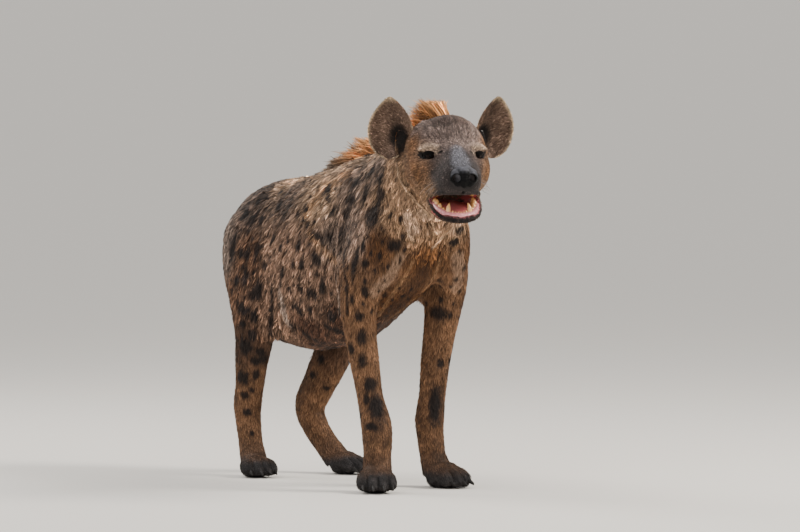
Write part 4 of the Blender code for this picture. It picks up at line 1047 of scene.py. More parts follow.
def coat_finish(name, roughness, bump):
    """Hair whose colour comes from the mesh, with a fine grain."""
    finish = Finish(name, specular_ior_level=0.25)
    colour = finish.node("ShaderNodeAttribute", {"attribute_name": "coat"}, {}, "Color")
    grain = finish.noise(900.0)
    shade = finish.node("ShaderNodeCombineColor", {}, {0: grain * 0.5 + 0.75, 1: grain * 0.5 + 0.75, 2: grain * 0.5 + 0.75})
    finish.set(base_color=finish.mixed(1.0, colour, shade, "MULTIPLY"))
    finish.set(roughness=grain * 0.2 + roughness)
    if bump > 0:
        finish.set(normal=finish.bumped(finish.noise(420.0, 2.0), bump))
    return finish.material


skin_finish = coat_finish("hide", 0.6, 0.0012)
# The bare skin takes the coat's colours darkened to about a third: painted shade, so that the gaps between the tufts
# look shaded.
skin_colours = marked(points_of(skin), ground_colours(points_of(skin), skin_values[:, 5:8])) * 0.35
skin_colours[in_hollow(from_head(points_of(skin)))] = MARK_COLOURS["palate"]
colour_points(skin, skin_colours)
skin.data.materials.append(skin_finish)

# Coat: tens of thousands of tufts, each a thin ridged blade of hair that leaves the skin at a low
# angle, bends along it and tapers to nothing. Tufts gather into clumps that lean a little their own
# way. The tufts of one part of the body are one piece.
CLUMP_SHARE = 0.50
ROOT_DEPTH = 0.02
BUDGET_SHARE = 0.93


def scatter(piece, ways, values, seed):
    """Roots spread over a skin as its density asks, with all that the skin knows there."""
    draw = np.random.default_rng(seed)
    mesh = piece.data
    mesh.calc_loop_triangles()
    corners = np.empty(len(mesh.loop_triangles) * 3, dtype=np.int32)
    mesh.loop_triangles.foreach_get("vertices", corners)
    corners = corners.reshape(-1, 3)
    points = points_of(piece)
    normals = normals_of(piece)
    a, b, c = (points[corners[:, k]] for k in range(3))
    area = 0.5 * np.linalg.norm(np.cross(b - a, c - a), axis=1)
    wanted = area * 1e4 * values[corners, 3].mean(1) * BUDGET_SHARE
    counts = np.floor(wanted + draw.random(len(wanted))).astype(int)
    chosen = np.repeat(np.arange(len(counts)), counts)
    u, v = draw.random(len(chosen)), draw.random(len(chosen))
    over = u + v > 1
    u[over], v[over] = 1 - u[over], 1 - v[over]
    share = np.stack([1 - u - v, u, v], axis=1)[:, :, None]
    trio = corners[chosen]
    normals = (normals[trio] * share).sum(1)
    normals /= np.linalg.norm(normals, axis=1, keepdims=True)
    roots = {"point": (points[trio] * share).sum(1), "normal": normals}
    roots["way"] = laid_on((ways[trio] * share).sum(1), normals)
    mixed = (values[trio] * share).sum(1)
    roots["length"] = mixed[:, 0] * 0.001
    roots["lift"] = np.radians(mixed[:, 2])
    roots["width"] = mixed[:, 4] * 0.001
    roots["colour"] = mixed[:, 5:8]
    return roots


def taken(roots, mask):
    """Only the roots that a mask keeps."""
    return {key: values[mask] for key, values in roots.items()}


def combed(roots, seed, clump_size=0.012, stray=0.16, sag=0.08, relax=0.60, streak=0.42, contrast=0.52):
    """Gives every root its own way, bend and pull towards its clump."""
    draw = np.random.default_rng(seed)
    number = len(roots["point"])
    point, normal, way = roots["point"], roots["normal"], roots["way"]
    spacing = np.maximum(clump_size, roots["length"] * 0.32)
    keep = draw.random(number) < np.clip(0.35 * (0.003 / spacing) ** 1.2 * 3.0, 0.02, 0.6)
    leaders = np.nonzero(keep)[0]
    tree = KDTree(len(leaders))
    for order, index in enumerate(leaders):
        tree.insert(point[index], order)
    tree.balance()
    mine = np.array([tree.find(p)[1] for p in point])
    swing = draw.normal(0.0, 0.20, len(leaders))[mine] + draw.normal(0.0, stray, number)
    lift = roots["lift"] * (draw.uniform(0.65, 1.35, len(leaders))[mine] + draw.normal(0.0, 0.18, number))
    side = np.cross(normal, way)
    way = way * np.cos(swing)[:, None] + side * np.sin(swing)[:, None]
    out = np.clip(lift, math.radians(3.0), math.radians(70.0))[:, None]
    start = way * np.cos(out) + normal * np.sin(out)
    bend = -normal * np.sin(out) * relax + np.array([0.0, 0.0, -sag])
    bend = bend + side * draw.normal(0.0, 0.12, number)[:, None]
    length = roots["length"] * draw.uniform(0.75, 1.15, number)
    tips = point + (start + bend) * length[:, None]
    led = tips[leaders][mine] - tips
    reach = np.linalg.norm(led, axis=1, keepdims=True)
    limit = 0.35 * length[:, None]
    led *= np.minimum(1.0, limit / np.maximum(reach, 1e-6))
    light = np.exp(draw.normal(0.0, streak, len(leaders))[mine] + draw.normal(-0.04, contrast, number))
    return start, bend, length, led * CLUMP_SHARE, light


def grow(name, roots, seed, shares=(0.0, 0.35, 0.72), root_painted_shade=0.34, tip_tone_and_light=1.25, ridged=True, **combing):
    """One piece of coat: a blade of hair for each root, ridged along its middle or flat."""
    start, bend, length, led, light = combed(roots, seed, **combing)
    draw = np.random.default_rng(seed + 1)
    number = len(length)
    side = np.cross(roots["normal"], start)
    side /= np.maximum(np.linalg.norm(side, axis=1, keepdims=True), 1e-6)
    over = np.cross(start, side)
    turn = draw.normal(0.0, 0.45, number)[:, None]
    side, over = side * np.cos(turn) + over * np.sin(turn), over * np.cos(turn) - side * np.sin(turn)
    rings = len(shares)
    steps = (-1, 0, 1) if ridged else (-1, 1)
    wide = len(steps)
    verts = np.empty((number, rings * wide + 1, 3))
    colours = np.empty((number, rings * wide + 1, 3))
    ground = ground_colours(roots["point"], roots["colour"])
    jitter = roots["way"] * draw.normal(0.0, 0.08, number)[:, None] * length[:, None]
    ups = np.empty((rings * wide + 1, 2))
    width = roots["width"][:, None] * draw.uniform(0.75, 1.2, (number, 1))
    root = roots["point"] - roots["normal"] * length[:, None] * ROOT_DEPTH
    for k, share in enumerate((*shares, 1.0)):
        middle = root + (start * share + bend * share**2) * length[:, None] + led * share**1.6
        middle[:, 2] = np.maximum(middle[:, 2], 0.0015)
        # Along each blade the colour runs from painted shade at the root, where the coat shades itself, to painted
        # light at the tip; a tip value under one, as on the mane, is the hair's own darker tip. Each clump and hair
        # also takes its own random tone.
        shade = (root_painted_shade + (tip_tone_and_light - root_painted_shade) * share**0.7) * light[:, None]
        colour = marked(middle + jitter, ground) * shade
        if k == rings:
            verts[:, -1] = middle
            colours[:, -1] = colour
            ups[-1] = (0.0, 1.0)
        else:
            half = width * 0.5 * (0.75 if k == 0 else 1.0 - 0.45 * share)
            for j, across in enumerate(steps):
                ridge = over * half * 0.7 if across == 0 else side * half * across
                verts[:, k * wide + j] = middle + ridge
                colours[:, k * wide + j] = colour
                ups[k * wide + j] = (0.5 * across, share)
    pattern = []
    for k in range(rings - 1):
        for j in range(wide - 1):
            low = k * wide + j
            pattern += [low, low + wide, low + wide + 1, low + 1]
    last = wide * (rings - 1)
    for j in range(wide - 1):
        pattern += [last + j, last + wide, last + j + 1]
    pattern = np.array(pattern)
    sizes = np.array([4] * ((wide - 1) * (rings - 1)) + [3] * (wide - 1))
    per_tuft = rings * wide + 1
    loops = (pattern[None] + np.arange(number)[:, None] * per_tuft).ravel()
    starts = np.concatenate([[0], np.cumsum(np.tile(sizes, number))[:-1]])
    mesh = bpy.data.meshes.new(name)
    mesh.vertices.add(number * per_tuft)
    mesh.vertices.foreach_set("co", verts.ravel())
    mesh.loops.add(len(loops))
    mesh.loops.foreach_set("vertex_index", loops.astype(np.int32))
    mesh.polygons.add(len(starts))
    mesh.polygons.foreach_set("loop_start", starts.astype(np.int32))
    mesh.update(calc_edges=True)
    mesh.validate()
    mesh.shade_smooth()
    piece = bpy.data.objects.new(name, mesh)
    bpy.context.scene.collection.objects.link(piece)
    colour_points(piece, colours.reshape(-1, 3))
    patch = around(roots["point"])[:, None, :] + 0.003 * (ups - np.array([0.0, 0.5]))[None]
    layer = mesh.uv_layers.new(name="OFBake")
    layer.data.foreach_set("uv", patch.reshape(-1, 2)[loops].ravel())
    return piece


def around(points):
    """An unwrap like a sleeve: round the points' own long axis, and along it."""
    middle = points.mean(0)
    _, _, axes = np.linalg.svd((points - middle)[:: max(1, len(points) // 2000)], full_matrices=False)
    local = (points - middle) @ axes.T
    turn = np.arctan2(local[:, 2], local[:, 1]) / (2 * math.pi) + 0.5
    along = (local[:, 0] - local[:, 0].min()) / np.ptp(local[:, 0])
    return 0.02 + 0.96 * np.stack([turn, along], axis=1)


fur_finish = coat_finish("fur", 0.55, 0.0)


def dressed(piece, finish):
    """Gives a piece its material and lets it ride on the body."""
    piece.data.materials.append(finish)
    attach(piece, "root")
    return piece


NOSE_MASK = ((0.003, 0.114, -0.052), (0.034, 0.024, 0.028))
EYE_MASK = ((0.050, 0.022, -0.0060), (0.0175, 0.020, 0.0100))


def within(local, mask, side=1):
    """Which points of the head lie in an egg-shaped mask."""
    middle = np.array(mask[0]) * np.array([side, 1, 1])
    return np.linalg.norm((local - middle) / np.array(mask[1]), axis=1) < 1.0


roots = scatter(skin, skin_ways, skin_values, 21)
local = from_head(roots["point"])
bare = within(local, NOSE_MASK) | within(local, EYE_MASK) | within(local, EYE_MASK, -1) | in_hollow(local)
roots = taken(roots, ~bare & (roots["point"][:, 2] > 0.004))
place = roots["point"]
at_head = np.linalg.norm(place - np.array(HEAD_MIDDLE), axis=1) < HEAD_REACH
long_hair = roots["length"] > 0.020
SHORT = (0.0, 0.55)
zones = {
    "coat_head": at_head,
    "coat_forelegs": ~at_head & ~long_hair & (place[:, 1] < 0.1),
    "coat_hindlegs": ~at_head & ~long_hair & (place[:, 1] >= 0.1),
}
for name, mask in zones.items():
    streak, contrast = (0.42, 0.32) if name == "coat_head" else (0.17, 0.20)
    short_coat = grow(
        name, taken(roots, mask), 31, SHORT, ridged=False, clump_size=0.006, sag=0.05, streak=streak, contrast=contrast
    )
    dressed(short_coat, fur_finish)
body = taken(roots, ~at_head & long_hair)
order = np.argsort(body["point"][:, 1])
PER_PIECE = 18500
for number in range(0, len(order), PER_PIECE):
    name = f"coat_body_{number // PER_PIECE + 1}"
    dressed(grow(name, taken(body, order[number : number + PER_PIECE]), 41 + number, clump_size=0.014), fur_finish)

# Folds: where the skin creases, from the ear down to the throat and twice on the throat itself, the
# hair from both sides meets in a thin ridge, coloured pale as a painted highlight on the fold's lit edge.
FOLDS_SEEN = [
    [(398, 163), (402, 179), (408, 189.5), (416.3, 199.3), (426, 209), (432.8, 219.5), (433.5, 231.5)],
    [(431, 248), (440, 238), (449, 228)],
    [(405.8, 227), (408, 233), (411.8, 239)],
]
FOLD_STEP = 0.45
FOLD_TUFTS = 3
FOLD_HIGHLIGHT_COLOUR = linear(178, 147, 118)


def fold_roots():
    """Roots along every fold, a little over the skin, with the fold as their way."""
    draw = np.random.default_rng(8)
    points, normals, ways = [], [], []
    for path in FOLDS_SEEN:
        rows = np.array(path)
        gone = np.concatenate([[0.0], np.cumsum(np.linalg.norm(np.diff(rows, axis=0), axis=1))])
        at = np.arange(0.0, gone[-1], FOLD_STEP)
        seen = np.stack([np.interp(at, gone, rows[:, k]) for k in (0, 1)], axis=1)
        hits = [skin_tree.ray_cast(camera_place, sight_line(tuple(pixel)))[:2] for pixel in seen]
        for (place, normal), (after, _) in zip(hits, hits[2:]):
            if place is None or after is None or (after - place).length > 0.012:
                continue
            twins = (False, True) if abs(place.x - MIDLINE) > 0.05 else (False,)
            for other in twins:
                start = mirrored(place) if other else place
                ahead = mirrored(after) if other else after
                facing = skin_tree.find_nearest(start)[1]
                for _ in range(FOLD_TUFTS):
                    points.append(start + facing * 0.0040 + Vector(draw.normal(0.0, 0.0015, 3)))
                    normals.append(facing)
                    ways.append(ahead - start)
    return np.array(points), np.array(normals), np.array(ways)


points, normals, ways = fold_roots()
count = len(points)
draw = np.random.default_rng(9)
folds = {
    "point": points,
    "normal": normals,
    "way": laid_on(ways, normals),
    "length": draw.uniform(0.008, 0.019, count),
    "lift": np.radians(draw.uniform(4.0, 14.0, count)),
    "width": np.full(count, 0.0010),
    "colour": np.tile(FOLD_HIGHLIGHT_COLOUR, (count, 1)),
}
fold_hair = grow(
    "coat_folds", folds, 95, (0.0, 0.5), ridged=False, root_painted_shade=0.7, clump_size=0.004, sag=0.0, relax=0.8
)
dressed(fold_hair, fur_finish)

# Mane: a crest of long coarse hair from the back of the skull to the middle of the back, upright and
# ginger at the nape, laid back and darker at its tips behind the shoulders.
CREST = [
    (-0.392, 0.084, 84.0),
    (-0.360, 0.106, 80.0),
    (-0.320, 0.098, 74.0),
    (-0.270, 0.080, 66.0),
    (-0.200, 0.086, 64.0),
    (-0.100, 0.094, 62.0),
    (-0.010, 0.094, 58.0),
    (0.080, 0.068, 46.0),
    (0.160, 0.044, 32.0),
    (0.220, 0.030, 20.0),
]
CREST_TUFTS = 7000
CREST_HALF_WIDTH = 0.013
CREST_COLOUR = linear(246, 176, 112)
CREST_BACK_COLOUR = linear(158, 128, 101)

draw = np.random.default_rng(3)
count = int(CREST_TUFTS * BUDGET_SHARE)
along = draw.uniform(CREST[0][0], CREST[-1][0], count)
across = draw.normal(0.0, 0.45, count).clip(-1.2, 1.2) * CREST_HALF_WIDTH
height = column(SPINE, along, 2) - across**2 / (2 * SPINE_ROUNDNESS) - 0.010
lean = np.stack([across * 9.0, np.full(count, 1.0), np.full(count, -0.35)], axis=1)
upright = np.stack([across * 14.0, np.full(count, 0.35), np.full(count, 1.0)], axis=1)
upright /= np.linalg.norm(upright, axis=1, keepdims=True)
faded = soft_step(-0.15, 0.12, along)[:, None]
crest_roots = {
    "point": np.stack([column(SPINE, along, 1) + across, along, height], axis=1),
    "normal": upright,
    "way": laid_on(lean, upright),
    "length": column(CREST, along, 1) + 0.006,
    "lift": np.radians(column(CREST, along, 2)),
    "width": np.full(count, 0.0021),
    "colour": np.array(CREST_COLOUR) * (1 - faded) + np.array(CREST_BACK_COLOUR) * faded,
}
LONG = (0.0, 0.3, 0.6, 0.85)
crest = grow("mane", crest_roots, 51, LONG, tip_tone_and_light=0.70, clump_size=0.012, sag=0.03, relax=0.35)
dressed(crest, fur_finish)

# Tail: coarse hair hanging from the dock, brown at its base and black in the long tuft at the end.
TAIL_TUFTS = 3600
TAIL_TOP = 0.535
TAIL_BLACK = linear(34, 29, 28)

draw = np.random.default_rng(4)
count = int(TAIL_TUFTS * BUDGET_SHARE)
height = draw.uniform(DOCK[0][0], TAIL_TOP, count)
turn = draw.uniform(0.0, 2 * math.pi, count)
outward = np.stack([np.cos(turn), np.sin(turn), np.zeros(count)], axis=1)
middle = np.stack([column(DOCK, height, 1), column(DOCK, height, 2), height], axis=1)
thick = 0.8 * column(DOCK, height, 3)
black = 1.0 - soft_step(0.43, 0.50, height)[:, None]
tail_roots = {
    "point": middle + outward * thick[:, None],
    "normal": outward,
    "way": np.tile([0.0, 0.0, -1.0], (count, 1)),
    "length": np.minimum(0.075, height - 0.262),
    "lift": np.radians(np.where(height > 0.47, 12.0, 24.0)),
    "width": np.full(count, 0.0021),
    "colour": np.array(COAT_COLOURS["tail"]) * (1 - black) + np.array(TAIL_BLACK) * black,
}
tail_hair = grow("tail_tuft", tail_roots, 61, LONG, tip_tone_and_light=1.0, clump_size=0.012, sag=0.10, relax=1.1)
dressed(tail_hair, fur_finish)

# Ears: big thin round cups, hairy on both faces, with a pale fringe round the rim, partly the hair's own
# and partly painted rim light, and a dark hollow low on the side next to the head, painted shade
# that also runs up the middle of the cup.
EAR_OUTWARD = math.radians(26.5)
EAR_LEAN = math.radians(16.0)
EAR_FOOT = (0.1190, -0.1330, -0.0140)
EAR_HEIGHT = 0.144
EAR_HALF_WIDTH = 0.054
EAR_RIM_FRINGE_AND_LIGHT = linear(214, 190, 158)
EAR_FACE = linear(128, 104, 89)
EAR_HOLLOW_SHADE = linear(30, 23, 20)
EAR_BACK = linear(132, 106, 82)
EAR_OUTLINE = [
    (0.0, 0.10),
    (0.08, 0.58),
    (0.22, 0.86),
    (0.42, 1.0),
    (0.58, 0.96),
    (0.74, 0.75),
    (0.86, 0.49),
    (0.94, 0.29),
    (1.0, 0.06),
]


def ear_axes(side):
    """Up the ear, across it away from the head, and out of its hollow, in the frame."""
    lean = in_head(0.0, math.sin(EAR_LEAN), math.cos(EAR_LEAN)) - EYE_LINE
    across = in_head(side * math.cos(EAR_OUTWARD), -math.sin(EAR_OUTWARD), 0.0) - EYE_LINE
    outward = in_head(side * math.sin(EAR_OUTWARD), math.cos(EAR_OUTWARD), 0.0) - EYE_LINE
    return np.array([lean, across, outward])


def ear_coat(points, normals, side):
    """Ways, values and colours of the hair on one ear."""
    axes = ear_axes(side)
    foot = np.array(in_head(side * EAR_FOOT[0], EAR_FOOT[1], EAR_FOOT[2]))
    high, wide, _ = np.linalg.solve(axes.T, (points - foot).T)
    high = high / EAR_HEIGHT
    reach = np.abs(wide) / (EAR_HALF_WIDTH * column(EAR_OUTLINE, np.clip(high, 0, 1), 1) + 1e-4)
    facing = normals @ axes[2] > 0
    rim = soft_step(0.86, 0.97, np.maximum(reach, high - 0.02))
    ways = axes[1] * (wide / EAR_HALF_WIDTH + 0.35)[:, None] + axes[0] * (0.35 + 0.9 * (high - 0.35))[:, None]
    ways[~facing] = axes[0] * 1.0 + axes[1] * (0.6 * wide[~facing, None] / EAR_HALF_WIDTH)
    # The dark hollow and the darker middle of the cup are painted shade; the pale of the rim is partly painted rim
    # light.
    hollow = 1.0 - soft_step(0.45, 1.0, np.hypot((wide + 0.011) / 0.030, (high - 0.36) / 0.28))
    shade = 1.0 - soft_step(0.2, 1.0, np.hypot((wide + 0.004) / 0.028, (high - 0.62) / 0.40))
    hollow = np.maximum(hollow, 0.45 * shade)
    hollow *= facing
    colour = np.where(facing[:, None], np.array(EAR_FACE), np.array(EAR_BACK))
    colour = colour * (1 - hollow[:, None]) + np.array(EAR_HOLLOW_SHADE) * hollow[:, None]
    colour = colour * (1 - rim[:, None]) + np.array(EAR_RIM_FRINGE_AND_LIGHT) * rim[:, None]
    values = np.empty((len(points), 8))
    values[:, 0] = np.where(facing, 8.0, 8.0) - 4.0 * rim
    values[:, 1] = 0.0
    values[:, 2] = np.where(facing, 20.0, 14.0) + 16.0 * rim
    values[:, 3] = np.where(facing, 36.0, 34.0) + 30.0 * rim
    values[:, 4] = 0.95 - 0.25 * rim
    values[:, 5:8] = colour
    return ways, values


for side, word in ((-1, "right"), (1, "left")):
    ear = copied(f"ear_skin_{word}", [f"ear_{word}"])
    modified(ear, "SUBSURF", levels=2, render_levels=2)
    bpy.ops.object.shade_smooth()
    ways, values = ear_coat(points_of(ear), normals_of(ear), side)
    colour_points(ear, values[:, 5:8] * 0.8)
    dressed(ear, skin_finish)
    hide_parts(f"ear_{word}")
    hair = scatter(ear, ways, values, 71)
    ear_hair = grow(f"coat_ear_{word}", hair, 81, SHORT, ridged=False, clump_size=0.004, sag=0.0, relax=0.5, streak=0.45)
    dressed(ear_hair, fur_finish)

# Eyes: dark glossy balls under heavy black lids; the upper lid is nearly straight, the lower one
# sags. Each ball is bedded as deep as the solids' own.
EYE_CENTRE = (0.0500, 0.0095, -0.0045)
EYE_RADIUS = 0.0138
GAZE_OUT = math.radians(24.0)
OPENING_HALF_WIDTH = 0.0148
OPENING_UPPER = 0.0046
OPENING_LOWER = 0.0084
IRIS = linear(28, 17, 12)
LID_COLOUR = linear(14, 11, 11)


def on_ball(side, across, rise, radius):
    """A point on a ball round an eye's centre, given as seen along the gaze; head's own axes."""
    depth = math.sqrt(max(radius**2 - across**2 - rise**2, 0.0))
    ahead = (side * math.sin(GAZE_OUT), math.cos(GAZE_OUT))
    out = (side * math.cos(GAZE_OUT), -math.sin(GAZE_OUT))
    return (
        side * EYE_CENTRE[0] + ahead[0] * depth + out[0] * across,
        EYE_CENTRE[1] + ahead[1] * depth + out[1] * across,
        EYE_CENTRE[2] + rise,
    )


def lid_path(side, half_width, upper, lower, radius, thick):
    """A closed almond round one eye, as a path for a roll."""
    path = []
    for k in range(25):
        turn = 2 * math.pi * k / 24
        height = upper if math.sin(turn) >= 0 else lower
        rise = height * math.copysign(abs(math.sin(turn)) ** 1.5, math.sin(turn))
        rise += 0.10 * half_width * math.cos(turn)
        path.append((*on_ball(side, half_width * math.cos(turn), rise, radius), thick))
    return path


for side, word in ((-1, "right"), (1, "left")):
    middle = in_head(side * EYE_CENTRE[0], EYE_CENTRE[1], EYE_CENTRE[2])
    bpy.ops.object.select_all(action="DESELECT")
    bpy.ops.mesh.primitive_ico_sphere_add(subdivisions=5, radius=EYE_RADIUS, location=middle)
    eye = bpy.context.object
    eye.name = f"eyeball_{word}"
    bpy.ops.object.transform_apply(location=True, rotation=False, scale=False)
    bpy.ops.object.shade_smooth()
    gaze = np.array(in_head(side * math.sin(GAZE_OUT * 0.7), math.cos(GAZE_OUT * 0.7), -0.02) - EYE_LINE)
    arm = (points_of(eye) - np.array(middle)) / EYE_RADIUS
    off = np.degrees(np.arccos(np.clip(arm @ gaze / np.linalg.norm(gaze), -1, 1)))[:, None]
    white = np.array(linear(34, 26, 23))
    colours = np.array(IRIS) * (0.7 + 0.5 * mottle(arm, 0.12)[:, None])
    colours = np.where(off > 33, white, np.where(off > 29, np.array(linear(16, 11, 9)), colours))
    colours = np.where(off < 13, np.array(linear(6, 5, 5)), colours)
    colour_points(eye, colours)
    set_points(eye, points_of(eye) + arm * 0.0009 * (1 - soft_step(10, 34, off)))
    if side < 0:
        eye_finish = Finish("eyeball", roughness=0.08, specular_ior_level=0.06)
        eye_finish.set(base_color=eye_finish.node("ShaderNodeAttribute", {"attribute_name": "coat"}, {}, "Color"))
        lid_finish = Finish("lid", base_color=LID_COLOUR, roughness=0.6, specular_ior_level=0.05)
        lid_finish.set(normal=lid_finish.bumped(lid_finish.noise(700.0, 3.0), 0.0006))
    dressed(eye, eye_finish.material)
    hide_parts(f"eye_{word}")
    margin = lid_path(side, OPENING_HALF_WIDTH, OPENING_UPPER, OPENING_LOWER, EYE_RADIUS + 0.0010, 0.0020)
    fold = lid_path(side, OPENING_HALF_WIDTH * 1.32, OPENING_UPPER * 1.9, OPENING_LOWER * 1.5, EYE_RADIUS + 0.0030, 0.0030)
    tear = [
        (side * 0.0385, 0.0245, -0.0070, 0.0026),
        (side * 0.0350, 0.0290, -0.0095, 0.0028),
        (side * 0.0315, 0.0340, -0.0130, 0.0024),
    ]
    lids = rolled(f"lids_{word}", [margin, fold, tear], mirror=False)
    modified(lids, "REMESH", mode="VOXEL", voxel_size=0.0009)
    modified(lids, "SMOOTH", factor=0.5, iterations=5)
    bpy.ops.object.shade_smooth()
    dressed(lids, lid_finish.material)

# Nose: a broad black pad with round wings and two deep nostrils, moist and finely pebbled. Its faces
# that look up carry a painted blue-grey sheen, and the insides of the nostrils are painted black as shade.
NOSE_SHIFT = 0.0030
NOSE_ROLLS = [
    [(0.0180, 0.113, -0.0510, 0.0155), (0.0165, 0.108, -0.0440, 0.0160)],
    [(0.0000, 0.113, -0.0420, 0.0165), (0.0000, 0.115, -0.0540, 0.0155), (0.0000, 0.113, -0.0640, 0.0125)],
    [(0.0080, 0.107, -0.0380, 0.0155), (0.0130, 0.113, -0.0600, 0.0135)],
    [(0.0000, 0.113, -0.0680, 0.0075), (0.0000, 0.109, -0.0800, 0.0065)],
]
NOSTRIL = [(0.0185, 0.1320, -0.0510, 0.0102), (0.0160, 0.1120, -0.0500, 0.0080)]
NOSTRIL_SLIT = [(0.0210, 0.1240, -0.0560, 0.0034), (0.0300, 0.1140, -0.0580, 0.0030)]


def shifted(path):
    """A path moved towards the animal's left, as its muzzle is turned."""
    return [(side + NOSE_SHIFT, fore, up, radius) for side, fore, up, radius in path]


def both_sides(path):
    """A path and its mirror image, both moved with the muzzle."""
    return [shifted(path), shifted([(-side, fore, up, radius) for side, fore, up, radius in path])]


nose = rolled("nose", [p for path in NOSE_ROLLS for p in both_sides(path)], mirror=False)
modified(nose, "REMESH", mode="VOXEL", voxel_size=0.0012)
modified(nose, "SMOOTH", factor=0.5, iterations=10)
cutters = []
for path in (NOSTRIL, NOSTRIL_SLIT):
    for number, sided in enumerate(both_sides(path)):
        cutter = rolled(f"nostril {number}", [sided], mirror=False)
        modified(cutter, "REMESH", mode="VOXEL", voxel_size=0.0008)
        cutters.append(cutter)
cut_by(nose, cutters)
modified(nose, "SMOOTH", factor=0.5, iterations=4)
bpy.context.view_layer.objects.active = nose
bpy.ops.object.shade_smooth()
# Colours: a painted pale blue-grey sheen on the faces that look up, painted black shade inside the nostrils, and a
# fine random mottle.
deep = from_head(points_of(nose)) - np.array([NOSE_SHIFT, 0.0, 0.0])
hole = np.hypot(np.abs(deep[:, 0]) - 0.0178, deep[:, 2] + 0.0512)
inside = (1 - soft_step(0.0095, 0.0120, hole)) * (1 - soft_step(0.122, 0.128, deep[:, 1]))
painted_sheen = soft_step(0.05, 0.95, normals_of(nose)[:, 2]) * soft_step(0.0095, 0.0125, hole)
painted_sheen = painted_sheen[:, None]
nose_colour = np.array(linear(3, 3, 4)) * (1 - painted_sheen) + np.array(linear(88, 88, 94)) * painted_sheen
nose_colour *= 0.8 + 0.4 * mottle(points_of(nose), 0.003)[:, None]
colour_points(nose, nose_colour * (1 - inside[:, None]) + np.array(linear(0, 0, 0)) * inside[:, None])
nose_finish = Finish("nose", specular_ior_level=0.08, coat_weight=0.04, coat_roughness=0.3)
nose_finish.set(base_color=nose_finish.node("ShaderNodeAttribute", {"attribute_name": "coat"}, {}, "Color"))
pebbles = nose_finish.node("ShaderNodeTexVoronoi", {}, {"Vector": nose_finish.place(), "Scale": 620.0}, "Distance")
nose_finish.set(roughness=nose_finish.noise(300.0) * 0.25 + 0.28, normal=nose_finish.bumped(pebbles, 0.0009, 0.7))
dressed(nose, nose_finish.material)

# Mouth: pink gums in two arches with ivory teeth, and a broad tongue that lies on the floor of the
# mouth. The lower canines stand tallest.
LOWER_GUM = [
    (0.0440, -0.010, -0.1030, 0.0065),
    (0.0470, 0.015, -0.1100, 0.0072),
    (0.0465, 0.036, -0.1165, 0.0084),
    (0.0410, 0.056, -0.1250, 0.0088),
    (0.0310, 0.074, -0.1325, 0.0092),
    (0.0170, 0.085, -0.1360, 0.0092),
    (0.0000, 0.089, -0.1370, 0.0092),
]
UPPER_GUM = [
    (0.0400, -0.005, -0.0850, 0.0060),
    (0.0410, 0.030, -0.0790, 0.0066),
    (0.0370, 0.055, -0.0765, 0.0066),
    (0.0290, 0.078, -0.0750, 0.0066),
    (0.0150, 0.091, -0.0745, 0.0066),
    (0.0000, 0.095, -0.0745, 0.0066),
]
LOWER_TEETH = [
    (0.0035, 0.0850, -0.133, 0.0075, 0.0032),
    (0.0100, 0.0840, -0.133, 0.0080, 0.0032),
    (0.0160, 0.0815, -0.132, 0.0090, 0.0036),
    (0.0245, 0.0760, -0.130, 0.0225, 0.0068),
    (0.0330, 0.0640, -0.126, 0.0090, 0.0052),
    (0.0385, 0.0510, -0.121, 0.0125, 0.0068),
    (0.0425, 0.0360, -0.115, 0.0140, 0.0076),
    (0.0435, 0.0190, -0.109, 0.0120, 0.0076),
]
UPPER_TEETH = [
    (0.0040, 0.0940, -0.077, 0.0060, 0.0036),
    (0.0110, 0.0925, -0.077, 0.0065, 0.0038),
    (0.0260, 0.0820, -0.078, 0.0100, 0.0056),
    (0.0350, 0.0600, -0.080, 0.0080, 0.0062),
    (0.0385, 0.0420, -0.082, 0.0080, 0.0070),
    (0.0400, 0.0220, -0.085, 0.0080, 0.0070),
]
GUM_COLOUR = linear(206, 128, 132)
TONGUE_COLOUR = linear(232, 134, 132)
TONGUE = [
    (-0.045, -0.103, -0.108, -0.113, 0.016),
    (-0.015, -0.106, -0.114, -0.124, 0.032),
    (0.020, -0.112, -0.122, -0.134, 0.036),
    (0.050, -0.122, -0.130, -0.139, 0.031),
    (0.068, -0.130, -0.135, -0.139, 0.020),
    (0.075, -0.134, -0.136, -0.138, 0.008),
]

gum_finish = Finish("gum", coat_weight=0.5, coat_roughness=0.12)
gum_patch = gum_finish.noise(160.0, 4.0)
gum_finish.set(base_color=gum_finish.mixed(gum_patch, linear(186, 96, 102), linear(228, 160, 160)))
gum_finish.set(roughness=gum_patch * 0.2 + 0.18, normal=gum_finish.bumped(gum_finish.noise(500.0), 0.0008))
tooth_finish = Finish("tooth", coat_weight=0.4, coat_roughness=0.1)
tooth_patch = tooth_finish.noise(220.0, 3.0)
tooth_finish.set(base_color=tooth_finish.mixed(tooth_patch, linear(222, 156, 84), linear(241, 200, 140)))
tooth_finish.set(roughness=tooth_patch * 0.15 + 0.2)
tongue_finish = Finish("tongue", coat_weight=0.4, coat_roughness=0.2)
tongue_patch = tongue_finish.noise(240.0, 4.0)
tongue_finish.set(base_color=tongue_finish.mixed(tongue_patch, linear(205, 100, 100), TONGUE_COLOUR))
tongue_finish.set(roughness=tongue_patch * 0.2 + 0.25, normal=tongue_finish.bumped(tongue_finish.noise(900.0), 0.0010))

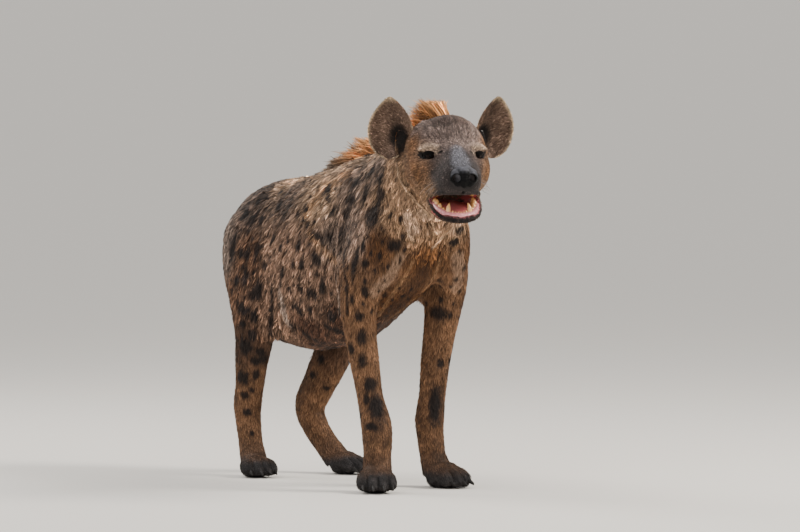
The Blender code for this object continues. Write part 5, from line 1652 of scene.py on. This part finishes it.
for name, arch, teeth, rise in (("gum_lower", LOWER_GUM, LOWER_TEETH, 1), ("gum_upper", UPPER_GUM, UPPER_TEETH, -1)):
    gum = rolled(f"{name}_flesh", [arch])
    modified(gum, "REMESH", mode="VOXEL", voxel_size=0.0014)
    modified(gum, "SMOOTH", factor=0.5, iterations=4)
    bpy.ops.object.shade_smooth()
    dressed(gum, gum_finish.material)
    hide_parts(name)
    rows = []
    for side, fore, up, height, radius in teeth:
        rows.append(
            [
                (side, fore, up, radius * 0.95),
                (side - 0.03 * height, fore - 0.04 * height, up + rise * height * 0.45, radius * 0.80),
                (side - 0.10 * height, fore - 0.14 * height, up + rise * height * 0.80, radius * 0.46),
                (side - 0.16 * height, fore - 0.22 * height, up + rise * height, radius * 0.22),
            ]
        )
    crown = rolled(f"{name.replace('gum', 'teeth')}", rows)
    modified(crown, "REMESH", mode="VOXEL", voxel_size=0.0011)
    modified(crown, "SMOOTH", factor=0.5, iterations=2)
    bpy.ops.object.shade_smooth()
    dressed(crown, tooth_finish.material)
tongue = lofted("tongue_flesh", TONGUE)
modified(tongue, "SUBSURF", levels=2, render_levels=2)
bpy.ops.object.shade_smooth()
dressed(tongue, tongue_finish.material)
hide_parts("tongue")

# Whiskers: stiff single hairs from both sides of the muzzle, swept back.
WHISKERS = 16
WHISKER_BED = ((0.041, 0.072, -0.062), (0.004, 0.018, 0.010))

draw = np.random.default_rng(7)
points, ways, normals = [], [], []
for side in (-1, 1):
    for _ in range(WHISKERS):
        bed = np.array(WHISKER_BED[0]) + draw.uniform(-1, 1, 3) * np.array(WHISKER_BED[1])
        place, normal, _, _ = skin_tree.find_nearest(in_head(side * bed[0], bed[1], bed[2]))
        points.append(place)
        normals.append(normal)
        ways.append(np.array([0.5 * side, -0.9, draw.uniform(-0.5, 0.1)]) @ head_axes)
count = len(points)
whisker_roots = {
    "point": np.array(points),
    "normal": np.array(normals),
    "way": laid_on(np.array(ways), np.array(normals)),
    "length": draw.uniform(0.035, 0.062, count),
    "lift": np.radians(draw.uniform(38, 60, count)),
    "width": np.full(count, 0.0007),
    "colour": np.tile(linear(120, 104, 94), (count, 1)),
}
whiskers = grow("whiskers", whisker_roots, 91, LONG, clump_size=0.001, sag=0.25, relax=0.2)
dressed(whiskers, fur_finish)

# Claws: blunt dark horn, one on every toe.
claw_finish = Finish("claw", specular_ior_level=0.3)
claw_grain = claw_finish.noise(500.0)
claw_finish.set(base_color=claw_finish.mixed(claw_grain, linear(16, 14, 14), linear(34, 30, 28)))
claw_finish.set(roughness=claw_grain * 0.3 + 0.45)
for node in sorted(frame["nodes"]):
    if node.startswith("claw_"):
        claw = copied(f"{node}_horn", [node])
        modified(claw, "SUBSURF", levels=2, render_levels=2)
        bpy.ops.object.shade_smooth()
        dressed(claw, claw_finish.material)
        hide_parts(node)
